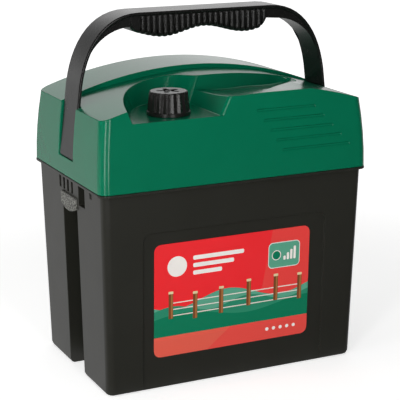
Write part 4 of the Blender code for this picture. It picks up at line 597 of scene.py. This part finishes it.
# grip pads: a row of rounded ribs whose undersides follow two shallow waves; sizes in mm
gripPads = {
    "start": -64.0, "long": 127.0, "count": 23, "gap": 0.7, "y": -1.0, "width": 33.4,
    "top": 329.3, "middle": 312.2, "wave": 3.7, "wavePitch": 82.0,
    "endTop": 320.5, "endRound": 8.5,
    "corner": 4.5, "cornerSteps": 4, "near": 0.1,
    "round": 1.9, "steps": 3, "sharp": 30, "smooth": 32}


def gripUnderside(x, look):
    # the height at x, turning up in a quarter round at the right end
    wave = look["middle"] + look["wave"] * math.cos(2 * math.pi * x / look["wavePitch"])
    inside = (look["start"] + look["long"] - x) / look["endRound"]
    if inside >= 1:
        return wave
    return wave + (look["endTop"] - wave) * (1 - math.sqrt(1 - (1 - inside) ** 2))


def selectEdges(piece, wanted):
    # the edges whose two ends, in mm, are as wanted, left selected in edit mode
    bpy.ops.object.mode_set(mode="EDIT")
    bpy.ops.mesh.select_mode(type="EDGE")
    bpy.ops.mesh.select_all(action="DESELECT")
    bpy.ops.object.mode_set(mode="OBJECT")
    for edge in piece.data.edges:
        ends = [piece.data.vertices[index].co for index in edge.vertices]
        edge.select = wanted(ends[0] / mm, ends[1] / mm)
    bpy.ops.object.mode_set(mode="EDIT")


def makeGripPad(look, number):
    pitch = look["long"] / look["count"]
    left = look["start"] + number * pitch + look["gap"] / 2
    right = left + pitch - look["gap"]
    low = gripUnderside(left, look)
    tall = look["top"] - low
    bpy.ops.object.select_all(action="DESELECT")
    bpy.ops.mesh.primitive_cube_add(
        size=1.0, location=Vector(((left + right) / 2, look["y"], low + tall / 2)) * mm,
        scale=((right - left) * mm, look["width"] * mm, tall * mm))
    pad = bpy.context.active_object
    bpy.ops.object.transform_apply(location=True, scale=True)
    near = look["near"]
    selectEdges(pad, lambda a, b: min(a.x, b.x) > right - near and max(a.z, b.z) < low + near)
    bpy.ops.transform.translate(value=(0.0, 0.0, (gripUnderside(right, look) - low) * mm))
    selectEdges(pad, lambda a, b: abs(a.x - b.x) > near and max(a.z, b.z) < look["top"] - near)
    bpy.ops.mesh.bevel(offset=look["corner"] * mm, segments=look["cornerSteps"])
    bpy.ops.object.mode_set(mode="OBJECT")
    return pad


pads = [makeGripPad(gripPads, number) for number in range(gripPads["count"])]
for pad in pads:
    pad.select_set(True)
bpy.context.view_layer.objects.active = pads[0]
bpy.ops.object.join()
gripRibs = bpy.context.active_object
gripRibs.name = "grip_pads"
softenEdges(gripRibs, gripPads)
gripRibs.data.materials.append(finishes["black_nylon"])
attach(gripRibs, bodyOf["handle"])
print("grip_pads ready:", len(gripRibs.data.polygons), "faces")

# boss in the knob's star recess, with a blind hole in its top; sizes in mm
knobBoss = {
    "foot": 3.6, "crown": 2.7, "sides": 40, "sink": 0.4, "tall": 2.9, "bore": 1.2, "boreDepth": 0.9,
    "round": 0.25, "steps": 2, "sharp": 30, "smooth": 32}


def makeKnobBoss(look):
    low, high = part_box("switch_knob")
    bpy.ops.object.select_all(action="DESELECT")
    middle = (low + high) / 2
    bpy.ops.mesh.primitive_cone_add(
        vertices=look["sides"], radius1=look["foot"] * mm, radius2=look["crown"] * mm,
        depth=look["tall"] * mm,
        location=(middle.x, middle.y, high.z - (look["sink"] + look["tall"] / 2) * mm))
    boss = bpy.context.active_object
    boss.name = "knob_boss"
    bpy.ops.object.transform_apply(location=True)
    bpy.ops.object.mode_set(mode="EDIT")
    bpy.ops.mesh.select_mode(type="FACE")
    bpy.ops.mesh.select_all(action="DESELECT")
    bpy.ops.object.mode_set(mode="OBJECT")
    for face in boss.data.polygons:
        face.select = face.normal.z > 0.9           # the top
    bpy.ops.object.mode_set(mode="EDIT")
    bpy.ops.mesh.inset(thickness=(look["crown"] - look["bore"]) * mm, depth=0.0)
    down = (0.0, 0.0, -look["boreDepth"] * mm)
    bpy.ops.mesh.extrude_region_move(TRANSFORM_OT_translate={"value": down})
    bpy.ops.object.mode_set(mode="OBJECT")
    softenEdges(boss, look)
    boss.data.materials.append(finishes["knob_plastic"])
    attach(boss, bodyOf["switch_knob"])
    print("knob_boss ready:", len(boss.data.polygons), "faces")


makeKnobBoss(knobBoss)

# the CAD pieces that show as they are
for node, item in nodes.items():
    item.data.materials.clear()
    item.data.materials.append(finishes[slotOf[node]])


# studio, in metres

studio = {
    "white": (1.0, 1.0, 1.0, 1.0),
    "floorSize": 12.0,
    "floorDrop": 0.0004,        # keeps the floor clear of the box's bottom
    "floor": "#F4F4F3",
    "floorGlow": 0.60,          # near the object; one further out
    "glowReach": (0.3, 1.1),
    "ambient": 0.15,            # light from all round
    "behind": 1.0,              # what gloss sees behind and in front of the object
    "ahead": 0.03,
    "turnBehind": (0.1, 0.6),   # where the backdrop goes from one to the other
    "floorBehind": 0.56,
    "floorTurn": (-0.11, -0.04),
    "leftShare": 0.06,          # how bright the backdrop's upper left is beside the rest
    "leftTurn": (-0.6, -0.3),
    "lamps": [                  # name, place, aimed at, width, height, radiance, seen in gloss
        ("left strip", (-0.86, -0.92, 0.72), (-0.05, -0.05, 0.72), 0.16, 1.5, 6.0, True),
        ("right strip", (-0.12, -1.28, 0.72), (-0.05, -0.05, 0.72), 0.16, 1.5, 6.0, True),
        ("overhead", (0.15, 0.55, 1.55), (0.0, 0.0, 0.2), 1.5, 1.5, 0.5, False),
        ("left fill", (-1.4, -0.2, 0.40), (0.0, 0.0, 0.20), 0.9, 0.9, 3.0, False),
        ("front fill", (-0.8, -1.4, 0.20), (0.0, 0.0, 0.08), 0.8, 0.8, 3.7, False)],
}


def lightWorld(look):
    # the camera sees plain white all round, gloss sees a backdrop that is bright behind the object,
    # and every other ray the low ambient light
    world = bpy.data.worlds.new("studio")
    bpy.context.scene.world = world
    world.use_nodes = True
    tree = world.node_tree
    tree.nodes.clear()
    way = addNode(tree, "ShaderNodeTexCoord").outputs["Generated"]
    along = addNode(tree, "ShaderNodeSeparateXYZ", links={0: way})
    start, end = look["turnBehind"]
    behind = addNode(tree, "ShaderNodeMapRange",
                     {"From Min": start, "From Max": end, "To Min": look["ahead"],
                      "To Max": look["behind"]},
                     {"Value": along.outputs["Y"]})
    lean = addNode(tree, "ShaderNodeMath", {"operation": "SUBTRACT"},
                   {0: along.outputs["X"], 1: along.outputs["Z"]})
    start, end = look["leftTurn"]
    sideways = addNode(tree, "ShaderNodeMapRange",
                       {"From Min": start, "From Max": end, "To Min": look["leftShare"],
                        "To Max": 1.0},
                       {"Value": lean.outputs[0]})
    backdrop = addNode(tree, "ShaderNodeMath", {"operation": "MULTIPLY"},
                       {0: behind.outputs[0], 1: sideways.outputs[0]})
    path = addNode(tree, "ShaderNodeLightPath")
    gloss = addNode(tree, "ShaderNodeMath", {"operation": "MAXIMUM"},
                    {0: path.outputs["Is Glossy Ray"], 1: path.outputs["Is Transmission Ray"]})
    lit = addNode(tree, "ShaderNodeMix", {"data_type": "FLOAT", 2: look["ambient"]},
                  {0: gloss.outputs[0], 3: backdrop.outputs[0]})
    seen = addNode(tree, "ShaderNodeMix", {"data_type": "FLOAT", 3: 1.0},
                   {0: path.outputs["Is Camera Ray"], 2: lit.outputs[0]})
    glow = addNode(tree, "ShaderNodeBackground", {"Color": look["white"]},
                   {"Strength": seen.outputs[0]})
    addNode(tree, "ShaderNodeOutputWorld", links={"Surface": glow.outputs[0]})


def hangLamps(look):
    # a lamp's power is its radiance over its area and all the ways that it faces
    for name, spot, aim, width, height, radiance, shown in look["lamps"]:
        lamp = bpy.data.lights.new(name, "AREA")
        lamp.shape = "RECTANGLE"
        lamp.size = width
        lamp.size_y = height
        lamp.energy = radiance * math.pi * width * height
        item = bpy.data.objects.new(name, lamp)
        bpy.context.scene.collection.objects.link(item)
        toward = Vector(aim) - Vector(spot)
        item.rotation_euler = toward.to_track_quat("-Z", "Y").to_euler()
        item.location = spot
        item.visible_camera = False
        item.visible_glossy = shown


def studioPaper(look):
    # matt paper keeps the shadow, and glows to plain white away from the object; gloss sees it lit
    # behind the object and dark in front
    paper = bpy.data.materials.new("white studio paper")
    paper.use_nodes = True
    tree = paper.node_tree
    tree.nodes.clear()
    place = addNode(tree, "ShaderNodeTexCoord").outputs["Object"]
    away = addNode(tree, "ShaderNodeVectorMath", {"operation": "LENGTH"}, {0: place})
    depth = addNode(tree, "ShaderNodeSeparateXYZ", links={0: place})
    start, end = look["glowReach"]
    fade = addNode(tree, "ShaderNodeMapRange",
                   {"interpolation_type": "SMOOTHSTEP", "From Min": start, "From Max": end,
                    "To Min": look["floorGlow"], "To Max": 1.0},
                   {"Value": away.outputs["Value"]})
    start, end = look["floorTurn"]
    mirrored = addNode(tree, "ShaderNodeMapRange",
                       {"interpolation_type": "SMOOTHSTEP", "From Min": start, "From Max": end,
                        "To Min": look["ahead"], "To Max": look["floorBehind"]},
                       {"Value": depth.outputs["Y"]})
    path = addNode(tree, "ShaderNodeLightPath")
    strength = addNode(tree, "ShaderNodeMath", {"operation": "MULTIPLY"},
                       {0: fade.outputs[0], 1: path.outputs["Is Camera Ray"]})
    matt = addNode(tree, "ShaderNodeBsdfDiffuse", {"Color": linear(look["floor"])})
    glow = addNode(tree, "ShaderNodeEmission", {"Color": look["white"]},
                   {"Strength": strength.outputs[0]})
    both = addNode(tree, "ShaderNodeAddShader", links={0: matt.outputs[0], 1: glow.outputs[0]})
    sheen = addNode(tree, "ShaderNodeEmission", {"Color": look["white"]},
                    {"Strength": mirrored.outputs[0]})
    either = addNode(tree, "ShaderNodeMixShader",
                     links={0: path.outputs["Is Glossy Ray"], 1: both.outputs[0],
                            2: sheen.outputs[0]})
    addNode(tree, "ShaderNodeOutputMaterial", links={"Surface": either.outputs[0]})
    return paper


def layFloor(look):
    bpy.ops.object.select_all(action="DESELECT")
    bpy.ops.mesh.primitive_plane_add(size=look["floorSize"],
                                     location=(0.0, 0.0, -look["floorDrop"]))
    floor = bpy.context.active_object
    floor.name = "floor"
    bpy.ops.object.transform_apply(location=True)
    floor.data.materials.append(studioPaper(look))


lightWorld(studio)
hangLamps(studio)
layFloor(studio)
print("studio ready")
